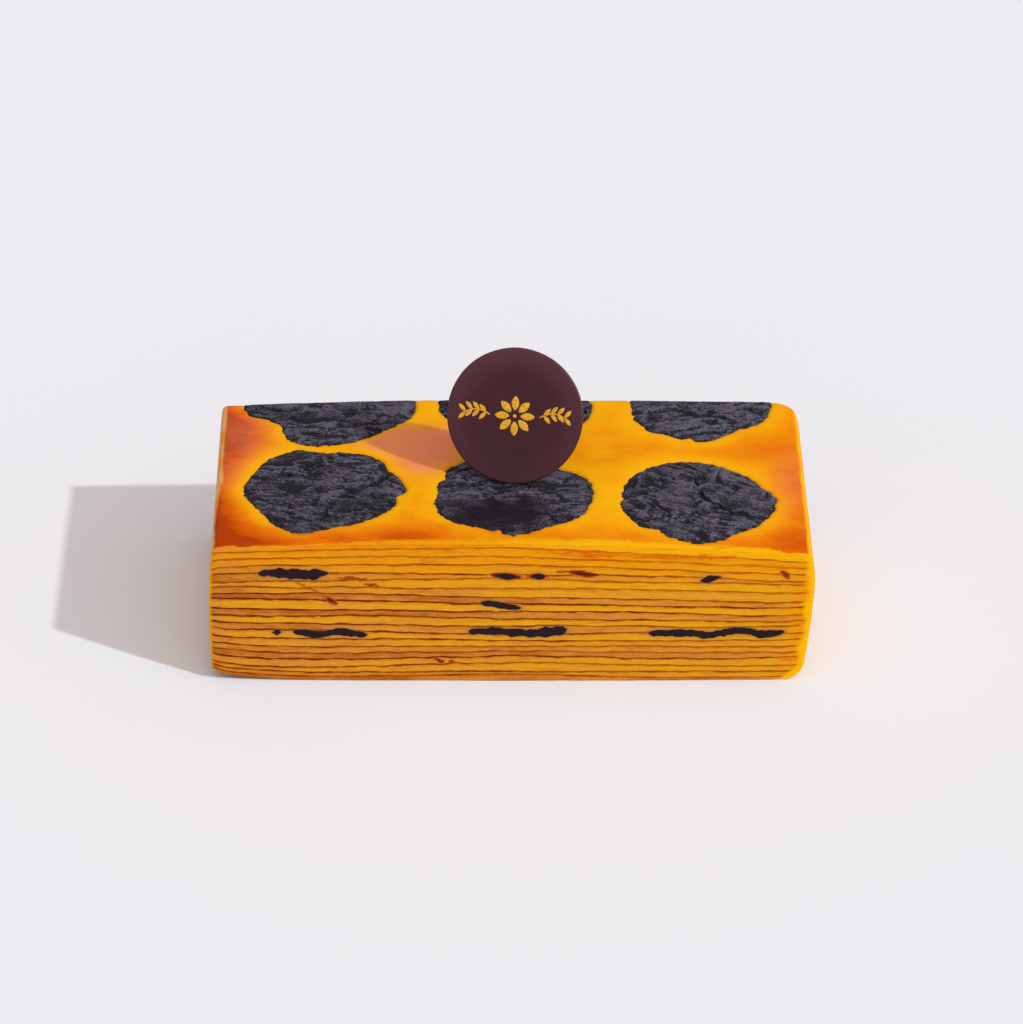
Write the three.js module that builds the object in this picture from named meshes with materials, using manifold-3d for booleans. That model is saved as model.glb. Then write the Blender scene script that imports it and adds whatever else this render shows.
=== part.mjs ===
// Half of a square lapis legit, a spiced butter cake baked one thin layer at a time.
// Pressed prunes lie between some of the layers and on top, and a chocolate disc stands on the middle one.
//
// Millimetres, +Z up. The front cut faces -Y, the back cut faces +Y, and the two ends at -X and +X
// are the sides that baked against the tin. The origin is under the middle of the cake.

import * as THREE from "three";
import { mergeVertices } from "three/addons/utils/BufferGeometryUtils.js";
import Module from "manifold-3d";

const wasm = await Module();
wasm.setup();

// ---- Cake ----

const LENGTH = 178; // between the tin sides, where they bulge most
const DEPTH = 87; // front cut to back cut, at mid-length
const FRONT_BOW = 0.8; // how far the ends of the front cut fall back behind its middle
const BACK_CORNER_RADIUS = 9; // the tin's upright corner, at the back of the right end

const PEAK_HEIGHT = 47.5; // highest line of the crown, along the front cut
const PEAK_X = -10;
// Fall of the top from the peak to the left end, and to the front and the back of the right end.
const CROWN_DROP = { left: 2.1, rightFront: 4.7, rightBack: 0.8 };
const BACK_DROP = 0.8; // fall of the top from the front cut to the back cut

const FLAT_BOTTOM = 60; // length of the middle of the underside, which rests on the table
const END_LIFT = { left: 2.2, right: 0.5 }; // rise of the underside from there to each end
const LIFT_POWER = 4; // how late it rises

// Each tin side is widest part way up, leans in from there to its rim and its foot, and turns under below.
const LEFT_SIDE = { widestHeight: 22, rimInset: 1.8, footInset: 0.6, cornerRadius: 2.6 };
const RIGHT_SIDE = { widestHeight: 34, rimInset: 1.6, footInset: 3.4, cornerRadius: 6 };
const FOOT_POWER = 1.4; // how late it leans in on the way down to the foot
const RIGHT_TAPER = 1.7; // how much shorter the cake is at the back, all of it at the right end

// Thickness of each baked layer from the bottom up, at three places along the front cut.
const MEASURED_X = [-62, -3, 55];
const LAYER_THICKNESS = [
  [1.4, 1.4, 1.7, 2.8, 2.1, 2.1, 2.8, 2.7, 2.4, 2.7, 2.1, 3.4, 2.0, 2.4, 2.0, 2.7, 2.7, 2.4, 2.4, 2.2],
  [2.3, 1.1, 3.1, 2.1, 1.7, 1.7, 2.1, 2.4, 2.4, 2.7, 2.4, 2.7, 2.4, 2.7, 3.4, 1.7, 3.1, 2.7, 3.0, 2.0],
  [1.1, 1.9, 2.1, 2.4, 2.1, 2.1, 2.1, 2.4, 2.4, 1.7, 2.4, 2.4, 2.0, 3.4, 2.7, 1.7, 2.4, 2.4, 2.4, 3.0],
];
const LAYERS = LAYER_THICKNESS[0].length;

const WAVE_HEIGHT = 0.2; // gentle rise and fall of a boundary between two layers
const WAVE_LENGTH = { shortest: 70, longest: 130 };
const GOLDEN_ANGLE = Math.PI * (3 - Math.sqrt(5));

// At the left end the layers bend towards one another, around this share of the height, and the lowest
// ones curl up most, into the rounded corner.
const LEFT_CURL = { corner: 2.1, rise: 0.9, fall: 1.2, reach: 1.8, around: 0.6 };
const CORNER_POWER = 8; // how soon the corner's curl dies away on the way up
const RIGHT_RISE = { rise: 1.2, reach: 6 }; // at the right end they rise a little

// Where a boundary has vertices: near the left end, in the middle and near the right end.
const LEFT_OFFSETS = [0, 1.2, 4];
const MIDDLE_STATIONS = [-62, -32, -3, 26, 55];
const RIGHT_OFFSETS = [9, 4.5, 1.2, 0];
const DEPTH_ROWS = [0, 0.5, 1];

// ---- Prunes ----

const GAP = 0.3; // between a piece and the pocket that it lies in

// Prunes on top: the middle of each, and its reach from there at twelve, one, two ... eleven o'clock,
// seen from above with the front cut at six. The back cut runs through the three at the back.
const TOP_PRUNES = {
  front_left: {
    middle: [-55.3, -12],
    reach: [24.5, 25.5, 23.5, 23.5, 22.5, 21.5, 23, 24, 21.5, 23.5, 25, 28],
  },
  front_middle: { middle: [0.9, -16.2], reach: [23.5, 21.5, 24.5, 23, 22, 20, 22, 21, 24, 23.5, 24.5, 26] },
  front_right: { middle: [55.2, -15.9], reach: [23, 21.5, 22, 23, 21.5, 21, 24.5, 22.5, 23.5, 23, 23.5, 24] },
  back_left: { middle: [-54.6, 39.5], reach: [22, 22, 24, 25.5, 23, 22, 23, 23, 18, 25.5, 25, 23] },
  back_middle: { middle: [0.9, 39.5], reach: [22, 22, 22, 23.5, 22.5, 22.5, 22.5, 21, 20.5, 23.5, 23, 22] },
  back_right: { middle: [56.9, 39.5], reach: [22, 21, 21, 21.5, 19, 17.5, 20, 19.5, 21, 21, 22, 22] },
};
const PRUNE_PROUD = 0.5; // height of a top prune's face above the cake
const PRUNE_SUNK = 2.6; // depth of its underside below the cake's top
const CREASE_HEIGHT = 0.25; // unevenness of its face

// Prunes that the front cut shows edge on: the stretch of the cut from one x to the other, the height
// and thickness of the prune there, the height of its waves, which is negative where the first one dips,
// and how far it reaches into the cake.
const FRONT_SLICES = {
  upper_left: { from: -74.3, to: -53.5, height: 36.5, thickness: 3.4, wave: 0.3, inward: 11 },
  upper_middle_a: { from: -5.1, to: 1.9, height: 35.8, thickness: 2.3, wave: 0.1, inward: 3 },
  upper_middle_b: { from: 5.4, to: 10.1, height: 35.8, thickness: 2, wave: 0.1, inward: 2.5 },
  upper_right: { from: 55.2, to: 61.7, height: 34.7, thickness: 1.9, wave: 0.6, inward: 3 },
  middle: { from: -9.3, to: 3.1, height: 26, thickness: 2.2, wave: 0.8, inward: 5 },
  lower_left_tip: { from: -70.7, to: -67.7, height: 16.5, thickness: 2.1, wave: 0, inward: 1.5 },
  lower_left: { from: -64.6, to: -42.3, height: 16.2, thickness: 2.1, wave: 0.5, inward: 12 },
  lower_middle: { from: -12.8, to: 16.3, height: 16.8, thickness: 2.9, wave: 0.4, inward: 16 },
  lower_right: { from: 40.2, to: 80.5, height: 16.4, thickness: 2.4, wave: -0.8, inward: 20 },
};

// How long the waves of some of them are, and where the first one starts.
const FRONT_WAVES = {
  upper_right: { waveLength: 14, waveStart: 44.4 },
  middle: { waveLength: 25, waveStart: -15.6 },
  lower_left: { waveLength: 14.5, waveStart: -67.8 },
  lower_right: { waveLength: 17.5, waveStart: 53.35 },
};

// The back cut runs through the middle of the next row, so its prunes show longer edges.
const BACK_SLICES = {
  upper_left: { from: -75, to: -37, height: 35.5, thickness: 2.8, wave: 0.4, inward: 18 },
  upper_middle: { from: -19, to: 21, height: 35.5, thickness: 2.5, wave: 0.5, inward: 19 },
  upper_right: { from: 42, to: 74, height: 34.2, thickness: 2.2, wave: 0.3, inward: 15 },
  middle: { from: -12, to: 14, height: 25.6, thickness: 2.1, wave: 0.3, inward: 12 },
  lower_left: { from: -72, to: -36, height: 16, thickness: 2.6, wave: 0.5, inward: 17 },
  lower_middle: { from: -20, to: 12, height: 16.3, thickness: 2.4, wave: 0.4, inward: 16 },
  lower_right: { from: 38, to: 76, height: 15.8, thickness: 2.3, wave: 0.6, inward: 18 },
};

// ---- Chocolate disc ----

const DISC_RADIUS = 20.3;
const DISC_THICKNESS = 1.8;
const DISC_BEVEL = 0.35;
const DISC_SIDES = 40;
const DISC_FOOT = { x: 0, y: -7.8, sunk: 0.8 }; // its lowest point, in the face of the front middle prune
const DISC_LEAN = THREE.MathUtils.degToRad(22); // back from upright
const DISC_TURN = THREE.MathUtils.degToRad(8); // towards the left end

// ---- Colours ----

const LAYER_COLOURS = [0xd9a02a, 0xc8893a]; // even layers, odd layers
const SKIN_COLOUR = 0xe8930f;
const PRUNE_COLOUR = 0x2b2733;
const CHOCOLATE_COLOUR = 0x45252a;
const ROUGHNESS = { cake: 0.7, prune: 0.45, chocolate: 0.45 };

// ---- Surfaces of the cake ----

const clamp01 = (value) => Math.min(1, Math.max(0, value));

function smoothStep(value) {
  const t = clamp01(value);
  return t * t * (3 - 2 * t);
}

const frontY = (x) => -DEPTH / 2 + FRONT_BOW * (x / (LENGTH / 2)) ** 2;

function topHeight(x, y) {
  const side = x < PEAK_X ? -1 : 1;
  const backward = y / DEPTH + 0.5;
  const rightDrop = THREE.MathUtils.lerp(CROWN_DROP.rightFront, CROWN_DROP.rightBack, backward);
  const drop = side < 0 ? CROWN_DROP.left : rightDrop;
  const away = (x - PEAK_X) / ((side * LENGTH) / 2 - PEAK_X);
  return PEAK_HEIGHT - drop * away ** 2 - BACK_DROP * backward;
}

function bottomHeight(x) {
  const flat = FLAT_BOTTOM / 2;
  const lift = x < 0 ? END_LIFT.left : END_LIFT.right;
  return lift * clamp01((Math.abs(x) - flat) / (LENGTH / 2 - flat)) ** LIFT_POWER;
}

// Share of the cake's height that lies under boundary k, at each of the measured places.
const measuredShares = LAYER_THICKNESS.map((thicknesses) => {
  const total = thicknesses.reduce((sum, t) => sum + t, 0);
  let height = 0;
  return [0, ...thicknesses.map((t) => (height += t) / total)];
});

function shareAt(k, x) {
  const right = x > MEASURED_X[1] ? 2 : 1;
  const along = (x - MEASURED_X[right - 1]) / (MEASURED_X[right] - MEASURED_X[right - 1]);
  return THREE.MathUtils.lerp(measuredShares[right - 1][k], measuredShares[right][k], smoothStep(along));
}

// How strongly, and which way, the left end bends a boundary at this share of the height.
function curlAt(share) {
  if (share < LEFT_CURL.around) {
    const down = 1 - share / LEFT_CURL.around;
    return LEFT_CURL.corner * down ** CORNER_POWER + LEFT_CURL.rise * Math.sin((Math.PI / 2) * down);
  }
  return -LEFT_CURL.fall * Math.sin((Math.PI * (share - LEFT_CURL.around)) / (1 - LEFT_CURL.around));
}

function boundaryHeight(k, x, y) {
  const share = shareAt(k, x);
  const low = bottomHeight(x);
  const flat = low + (topHeight(x, y) - low) * share;
  const spread = (k * 7) % LAYERS / LAYERS; // a different length for each boundary's waves
  const waveLength = WAVE_LENGTH.shortest + (WAVE_LENGTH.longest - WAVE_LENGTH.shortest) * spread;
  const inside = Math.sin(Math.PI * share);
  const phase = k * GOLDEN_ANGLE;
  const wave = WAVE_HEIGHT * inside * Math.sin((2 * Math.PI * (x + 0.5 * y)) / waveLength + phase);
  const curl = curlAt(share) * Math.exp(-(x + LENGTH / 2) / LEFT_CURL.reach);
  const rise = RIGHT_RISE.rise * inside * Math.exp((x - LENGTH / 2) / RIGHT_RISE.reach);
  return flat + wave + curl + rise;
}

// How far a tin side stands back from the plane that touches its bulge, at one height.
function sideInset(side, z) {
  const above = Math.max(0, z - side.widestHeight) / (PEAK_HEIGHT - side.widestHeight);
  const below = Math.max(0, side.widestHeight - z) / side.widestHeight;
  const lean = side.rimInset * above ** 2 + side.footInset * below ** FOOT_POWER;
  const under = Math.max(0, side.cornerRadius - z);
  const turn = side.cornerRadius - Math.sqrt(side.cornerRadius ** 2 - under ** 2);
  return lean + turn;
}

function backY(fromRightEnd) {
  const past = Math.max(0, BACK_CORNER_RADIUS - fromRightEnd);
  const cut = BACK_CORNER_RADIUS - Math.sqrt(BACK_CORNER_RADIUS ** 2 - past ** 2);
  return DEPTH / 2 - cut;
}

// The vertices of boundary k, station by station from left to right, each from front to back.
function boundarySheet(k) {
  const half = LENGTH / 2;
  const leftEnd = -half + sideInset(LEFT_SIDE, boundaryHeight(k, -half, 0));
  const rightEnd = half - sideInset(RIGHT_SIDE, boundaryHeight(k, half, 0));
  const stations = [
    ...LEFT_OFFSETS.map((offset) => leftEnd + offset),
    ...MIDDLE_STATIONS,
    ...RIGHT_OFFSETS.map((offset) => rightEnd - offset),
  ];
  return stations.map((station) => {
    const front = frontY(station);
    const back = backY(rightEnd - station);
    return DEPTH_ROWS.map((row) => {
      const x = station - RIGHT_TAPER * clamp01(station / half) * row;
      const y = THREE.MathUtils.lerp(front, back, row);
      return [x, y, boundaryHeight(k, x, y)];
    });
  });
}

// ---- Meshes and solids ----

const addQuad = (triangles, a, b, c, d) => triangles.push(...a, ...b, ...c, ...a, ...c, ...d);

function geometryOf(triangles) {
  const geometry = new THREE.BufferGeometry();
  geometry.setAttribute("position", new THREE.Float32BufferAttribute(triangles, 3));
  return geometry;
}

function solidOf(geometry) {
  const bare = geometry.clone();
  bare.deleteAttribute("normal");
  bare.deleteAttribute("uv");
  const merged = mergeVertices(bare, 1e-4);
  return new wasm.Manifold(
    new wasm.Mesh({
      numProp: 3,
      vertProperties: merged.getAttribute("position").array,
      triVerts: new Uint32Array(merged.index.array),
    }),
  );
}

function meshOf(name, solid, colour, roughness) {
  const { vertProperties, triVerts } = solid.getMesh();
  const geometry = new THREE.BufferGeometry();
  geometry.setAttribute("position", new THREE.BufferAttribute(new Float32Array(vertProperties), 3));
  geometry.setIndex(new THREE.BufferAttribute(new Uint32Array(triVerts), 1));
  geometry.computeVertexNormals();
  const material = new THREE.MeshStandardMaterial({ color: colour, roughness, metalness: 0 });
  const mesh = new THREE.Mesh(geometry, material);
  mesh.name = name;
  return mesh;
}

// The cake between two boundaries.
function slab(low, high) {
  const sheets = [];
  for (let k = low; k <= high; k++) sheets.push(boundarySheet(k));
  const [bottom, top] = [sheets[0], sheets.at(-1)];
  const [lastStation, lastRow] = [top.length - 1, DEPTH_ROWS.length - 1];
  const triangles = [];
  for (let i = 0; i < lastStation; i++) {
    for (let j = 0; j < lastRow; j++) {
      addQuad(triangles, top[i][j], top[i + 1][j], top[i + 1][j + 1], top[i][j + 1]);
      addQuad(triangles, bottom[i][j], bottom[i][j + 1], bottom[i + 1][j + 1], bottom[i + 1][j]);
    }
  }
  for (let s = 0; s < sheets.length - 1; s++) {
    const [under, over] = [sheets[s], sheets[s + 1]];
    for (let i = 0; i < lastStation; i++) {
      addQuad(triangles, under[i][0], under[i + 1][0], over[i + 1][0], over[i][0]);
      addQuad(triangles, under[i + 1][lastRow], under[i][lastRow], over[i][lastRow], over[i + 1][lastRow]);
    }
    for (let j = 0; j < lastRow; j++) {
      addQuad(triangles, under[0][j + 1], under[0][j], over[0][j], over[0][j + 1]);
      const [near, far] = [under[lastStation], over[lastStation]];
      addQuad(triangles, near[j], near[j + 1], far[j + 1], far[j]);
    }
  }
  return solidOf(geometryOf(triangles));
}

// A closed body made of rings of points, one above the other, with a point under and a point over them.
function ringBody(under, rings, over) {
  const triangles = [];
  const sides = rings[0].length;
  const last = rings.length - 1;
  for (let i = 0; i < sides; i++) {
    const next = (i + 1) % sides;
    triangles.push(...under, ...rings[0][next], ...rings[0][i]);
    for (let r = 0; r < last; r++) {
      addQuad(triangles, rings[r][i], rings[r][next], rings[r + 1][next], rings[r + 1][i]);
    }
    triangles.push(...rings[last][i], ...rings[last][next], ...over);
  }
  return solidOf(geometryOf(triangles));
}

// ---- Prunes on top ----

const OUTLINE_STEPS = 20;
const UNDERSIDE_SHARE = 0.86; // of the outline's reach, where the underside starts
const SHOULDER_SHARE = 0.85; // where the face starts
const FACE_SHARE = 0.4; // a ring inside the face, where it folds the other way
const FOLDS = 3; // round the middle

// Reach of a prune's outline at a turn from 0 to 1, clockwise from twelve o'clock, as a smooth curve
// through its reach at each hour.
function reachAt(reach, turn) {
  const hours = reach.length;
  const position = turn * hours;
  const hour = Math.floor(position);
  const t = position - hour;
  const [a, b, c, d] = [-1, 0, 1, 2].map((step) => reach[(hour + step + hours) % hours]);
  return b + 0.5 * t * (c - a + t * (2 * a - 5 * b + 4 * c - d + t * (3 * (b - c) + d - a)));
}

// grow widens the body all round, which makes the pocket for it.
function topPruneBody({ middle, reach }, grow) {
  const seed = middle[0] + middle[1];
  const levels = [
    { share: UNDERSIDE_SHARE, z: -PRUNE_SUNK - grow, crease: 0 },
    { share: 1, z: 0, crease: 0 },
    { share: SHOULDER_SHARE, z: PRUNE_PROUD + grow, crease: 1 },
    { share: FACE_SHARE, z: PRUNE_PROUD + grow, crease: -1 },
  ];
  const pointAt = (distance, angle, lift) => {
    const x = middle[0] + distance * Math.sin(angle);
    const y = middle[1] + distance * Math.cos(angle);
    return [x, y, topHeight(x, y) + lift];
  };
  const rings = levels.map(({ share, z, crease }) => {
    const ring = [];
    for (let i = 0; i < OUTLINE_STEPS; i++) {
      const turn = 1 - i / OUTLINE_STEPS; // anticlockwise, as the body's faces need
      const distance = reachAt(reach, turn % 1) * share + grow;
      const angle = 2 * Math.PI * turn;
      const fold = CREASE_HEIGHT * crease * Math.sin(FOLDS * angle + seed);
      ring.push(pointAt(distance, angle, z + fold));
    }
    return ring;
  });
  return ringBody(pointAt(0, 0, -PRUNE_SUNK - grow), rings, pointAt(0, 0, PRUNE_PROUD + grow));
}

function beyondBackCut() {
  const box = new THREE.BoxGeometry(2 * LENGTH, DEPTH, 2 * PEAK_HEIGHT);
  box.translate(0, DEPTH, PEAK_HEIGHT);
  return solidOf(box);
}

// ---- Prunes in the cuts ----

const SLICE_STEPS = 14;
const SLICE_SHOULDER = 0.8; // how far out the flat of a slice goes, as a share
const USUAL_WAVE = 0.8; // length of a slice's wave as a share of the slice's length

// A flat oval prune lying half inside the cake, with the cut as its long axis.
function sliceBody(slice, cutY, grow) {
  const { from, to, height, thickness, wave, inward } = slice;
  const { waveLength = USUAL_WAVE * (to - from), waveStart = from } = slice;
  const centre = (from + to) / 2;
  const halfLength = (to - from) / 2;
  const middleHeight = (x) => {
    const wavesAlong = Math.max(0, x - waveStart) / waveLength;
    return height + wave * Math.sin(2 * Math.PI * wavesAlong);
  };
  const half = thickness / 2 + grow;
  const levels = [
    { share: SLICE_SHOULDER, z: -half },
    { share: 1, z: 0 },
    { share: SLICE_SHOULDER, z: half },
  ];
  const pointAt = (share, angle, z) => {
    const x = centre + (halfLength * share + grow) * Math.cos(angle);
    const y = cutY(x) + (inward * share + grow) * Math.sin(angle);
    return [x, y, middleHeight(x) + z];
  };
  const rings = levels.map(({ share, z }) => {
    const ring = [];
    for (let i = 0; i < SLICE_STEPS; i++) {
      const angle = (2 * Math.PI * (i + 0.5)) / SLICE_STEPS;
      ring.push(pointAt(share, angle, z));
    }
    return ring;
  });
  const centrePoint = (z) => [centre, cutY(centre), middleHeight(centre) + z];
  return ringBody(centrePoint(-half), rings, centrePoint(half));
}

// ---- Chocolate disc ----

// A bevelled disc, stood on its edge, leant back and turned. grow gives the slit that it stands in.
function discBody(grow) {
  const radius = DISC_RADIUS + grow;
  const half = DISC_THICKNESS / 2 + grow;
  const profile = [
    [0, -half],
    [radius - DISC_BEVEL, -half],
    [radius, DISC_BEVEL - half],
    [radius, half - DISC_BEVEL],
    [radius - DISC_BEVEL, half],
    [0, half],
  ].map(([r, y]) => new THREE.Vector2(r, y));
  const disc = new THREE.LatheGeometry(profile, DISC_SIDES);
  disc.translate(0, 0, DISC_RADIUS);
  disc.rotateX(-DISC_LEAN);
  disc.rotateZ(-DISC_TURN);
  const { x, y, sunk } = DISC_FOOT;
  disc.translate(x, y, topHeight(x, y) + PRUNE_PROUD - sunk);
  return solidOf(disc);
}

// ---- Assembly ----

const part = new THREE.Group();

const cake = slab(0, LAYERS);
const slices = [
  ...Object.entries(FRONT_SLICES).map(([place, slice]) => ({
    name: `front_prune_${place}`,
    slice: { ...slice, ...FRONT_WAVES[place] },
    cutY: frontY,
  })),
  ...Object.entries(BACK_SLICES).map(([place, slice]) => ({
    name: `back_prune_${place}`,
    slice,
    cutY: () => DEPTH / 2,
  })),
];

const pockets = [
  ...Object.values(TOP_PRUNES).map((prune) => topPruneBody(prune, GAP)),
  ...slices.map(({ slice, cutY }) => sliceBody(slice, cutY, GAP)),
];

for (let k = 1; k <= LAYERS; k++) {
  const layer = pockets.reduce((solid, pocket) => solid.subtract(pocket), slab(k - 1, k));
  const colour = k === LAYERS ? SKIN_COLOUR : LAYER_COLOURS[k % 2];
  part.add(meshOf(`layer_${String(k).padStart(2, "0")}`, layer, colour, ROUGHNESS.cake));
}

const behind = beyondBackCut();
for (const [place, prune] of Object.entries(TOP_PRUNES)) {
  let body = topPruneBody(prune, 0).subtract(behind);
  if (place === "front_middle") body = body.subtract(discBody(GAP));
  part.add(meshOf(`top_prune_${place}`, body, PRUNE_COLOUR, ROUGHNESS.prune));
}

for (const { name, slice, cutY } of slices) {
  part.add(meshOf(name, sliceBody(slice, cutY, 0).intersect(cake), PRUNE_COLOUR, ROUGHNESS.prune));
}

part.add(meshOf("chocolate_disc", discBody(0), CHOCOLATE_COLOUR, ROUGHNESS.chocolate));

export default part;
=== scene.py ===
"""The looks of half a lapis legit: twenty baked layers, pressed prunes and a chocolate disc.

Lengths are in millimetres until a mesh is made. +X runs to the right tin side, the front cut faces -Y and
the back cut +Y, and the origin is on the table under the middle of the cake, as in the CAD.
"""

import itertools
import math

import bpy
import numpy as np
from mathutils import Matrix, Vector


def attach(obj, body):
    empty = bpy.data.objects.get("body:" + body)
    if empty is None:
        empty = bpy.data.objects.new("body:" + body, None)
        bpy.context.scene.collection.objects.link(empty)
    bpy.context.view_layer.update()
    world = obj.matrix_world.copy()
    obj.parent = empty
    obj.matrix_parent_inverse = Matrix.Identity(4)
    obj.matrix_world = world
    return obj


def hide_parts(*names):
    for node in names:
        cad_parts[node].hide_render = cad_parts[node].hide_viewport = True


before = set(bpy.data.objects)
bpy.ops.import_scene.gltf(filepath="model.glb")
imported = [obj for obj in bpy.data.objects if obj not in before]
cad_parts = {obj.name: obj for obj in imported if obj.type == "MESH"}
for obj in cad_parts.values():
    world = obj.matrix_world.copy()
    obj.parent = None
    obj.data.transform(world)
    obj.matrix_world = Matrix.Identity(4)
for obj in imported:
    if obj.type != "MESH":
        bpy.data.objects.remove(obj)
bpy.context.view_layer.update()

MM = 0.001

# ---- Sizes shared with the CAD ----

LENGTH = 178
HALF = LENGTH / 2
DEPTH = 87
FRONT_BOW = 0.8
BACK_CORNER_RADIUS = 9

PEAK_HEIGHT = 47.5
PEAK_X = -10
CROWN_DROP = {"left": 2.1, "right_front": 4.7, "right_back": 0.8}
BACK_DROP = 0.8

FLAT_BOTTOM = 60
END_LIFT = {"left": 2.2, "right": 0.5}
LIFT_POWER = 4

LEFT_SIDE = {"widest": 22, "rim": 1.8, "foot": 0.6, "corner": 2.6}
RIGHT_SIDE = {"widest": 34, "rim": 1.6, "foot": 3.4, "corner": 6}
FOOT_POWER = 1.4
RIGHT_TAPER = 1.7

MEASURED_X = (-62, -3, 55)
LAYER_THICKNESS = (
    (1.4, 1.4, 1.7, 2.8, 2.1, 2.1, 2.8, 2.7, 2.4, 2.7, 2.1, 3.4, 2.0, 2.4, 2.0, 2.7, 2.7, 2.4, 2.4, 2.2),
    (2.3, 1.1, 3.1, 2.1, 1.7, 1.7, 2.1, 2.4, 2.4, 2.7, 2.4, 2.7, 2.4, 2.7, 3.4, 1.7, 3.1, 2.7, 3.0, 2.0),
    (1.1, 1.9, 2.1, 2.4, 2.1, 2.1, 2.1, 2.4, 2.4, 1.7, 2.4, 2.4, 2.0, 3.4, 2.7, 1.7, 2.4, 2.4, 2.4, 3.0),
)
LAYERS = len(LAYER_THICKNESS[0])
SHARES = np.array([np.cumsum((0, *thicknesses)) / sum(thicknesses) for thicknesses in LAYER_THICKNESS])

WAVE_HEIGHT = 0.2
WAVE_LENGTH = {"shortest": 70, "longest": 130}
GOLDEN_ANGLE = math.pi * (3 - math.sqrt(5))
LEFT_CURL = {"corner": 2.1, "rise": 0.9, "fall": 1.2, "reach": 1.8, "around": 0.6}
CORNER_POWER = 8
RIGHT_RISE = {"rise": 1.2, "reach": 6}

# The middle of each top prune, and its reach at twelve, one, two ... eleven o'clock.
# Six o'clock is towards the front cut.
TOP_PRUNES = {
    "front_left": ((-55.3, -12), (24.5, 25.5, 23.5, 23.5, 22.5, 21.5, 23, 24, 21.5, 23.5, 25, 28)),
    "front_middle": ((0.9, -16.2), (23.5, 21.5, 24.5, 23, 22, 20, 22, 21, 24, 23.5, 24.5, 26)),
    "front_right": ((55.2, -15.9), (23, 21.5, 22, 23, 21.5, 21, 24.5, 22.5, 23.5, 23, 23.5, 24)),
    "back_left": ((-54.6, 39.5), (22, 22, 24, 25.5, 23, 22, 23, 23, 18, 25.5, 25, 23)),
    "back_middle": ((0.9, 39.5), (22, 22, 22, 23.5, 22.5, 22.5, 22.5, 21, 20.5, 23.5, 23, 22)),
    "back_right": ((56.9, 39.5), (22, 21, 21, 21.5, 19, 17.5, 20, 19.5, 21, 21, 22, 22)),
}

# Prunes in the cuts: from x to x, height, thickness, and the height, length and start of the waves.
FRONT_SLICES = {
    "upper_left": (-74.3, -53.5, 36.5, 3.4, 0.3, 16.6, -74.3),
    "upper_middle_a": (-5.1, 1.9, 35.8, 2.3, 0.1, 5.6, -5.1),
    "upper_middle_b": (5.4, 10.1, 35.8, 2, 0.1, 3.8, 5.4),
    "upper_right": (55.2, 61.7, 34.7, 1.9, 0.6, 14, 44.4),
    "middle": (-9.3, 3.1, 26, 2.2, 0.8, 25, -15.6),
    "lower_left_tip": (-70.7, -67.7, 16.5, 2.1, 0, 1, 0),
    "lower_left": (-64.6, -42.3, 16.2, 2.1, 0.5, 14.5, -67.8),
    "lower_middle": (-12.8, 16.3, 16.8, 2.9, 0.4, 23.3, -12.8),
    "lower_right": (40.2, 80.5, 16.4, 2.4, -0.8, 17.5, 53.35),
}
BACK_SLICES = {
    "upper_left": (-75, -37, 35.5, 2.8, 0.4, 30.4, -75),
    "upper_middle": (-19, 21, 35.5, 2.5, 0.5, 32, -19),
    "upper_right": (42, 74, 34.2, 2.2, 0.3, 25.6, 42),
    "middle": (-12, 14, 25.6, 2.1, 0.3, 20.8, -12),
    "lower_left": (-72, -36, 16, 2.6, 0.5, 28.8, -72),
    "lower_middle": (-20, 12, 16.3, 2.4, 0.4, 25.6, -20),
    "lower_right": (38, 76, 15.8, 2.3, 0.6, 30.4, 38),
}

DISC_RADIUS = 20.3
DISC_THICKNESS = 1.8
DISC_FACE = DISC_THICKNESS / 2  # how far its faces lie from its middle
DISC_FOOT = {"x": 0, "y": -7.8, "sunk": 0.8}
DISC_LEAN = math.radians(22)
DISC_TURN = math.radians(8)
PRUNE_PROUD = 0.5

# ---- Looks of the layers ----

# From the bottom layer up: tone of the crumb, from 0 for bright yellow to 1 for brown, and strength of the
# browned line along the layer's top.
LAYER_TONE = (
    0.75, 0.5, 0.3, 0.3, 0.72, 0.55, 0.35, 0.25, 0.5, 0.12,
    0.75, 0.12, 0.7, 0.3, 0.12, 0.55, 0.25, 0.1, 0.1, 0.1,
)
LINE_STRENGTH = (
    0.75, 0.85, 0.8, 1.1, 0.8, 0.8, 0.9, 0.95, 0.85, 0.9,
    1.15, 1.2, 0.85, 0.65, 0.7, 0.8, 0.65, 0.5, 0.45, 0,
)
LINE_WIDTH = 0.58
PAINTED_SHADE_TO_LEFT = 0.2  # painted shade: the crumb is painted browner towards the left end and paler towards the right

# Where the rows of vertices lie across a layer's height.
LAYER_LEVELS = (0, 0.07, 0.18, 0.38, 0.62, 0.82, 0.93, 1)
LAYER_COLUMN = 0.55  # between two columns of vertices along the cake
END_OFFSETS = (0, 0.25, 0.6, 1.05)  # columns of vertices near an end, from the end
EDGE_OFFSETS = (0, 0.3, 0.7, 1.3, 2.2, 3.4, 5, 7)  # rows of vertices near a cut, behind its face
MIDDLE_ROW = 11  # between two rows of a lower layer, away from the cuts
TOP_ROW = 0.68  # between two rows of the top layer

# Relief of the faces.
GROOVE_DEPTH = 0.05  # along a line between two layers
GROOVE_REACH = 0.28
POCKET_DEPTH = 1.5  # behind a prune in a cut
HOLLOW_DEPTH = 1.25  # under a prune on top
LIP_DROP = 0.3  # how far the skin turns down at a prune's edge
RIM_DROP = {"front": 0.3, "end": 0.9}  # how far it turns down at its own rims
CORNER_ROUND = 0.35  # how far a cut's face stands back at its two ends
FACE_INSET = 0.08  # how far the faces stand back from the CAD's before their relief

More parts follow.
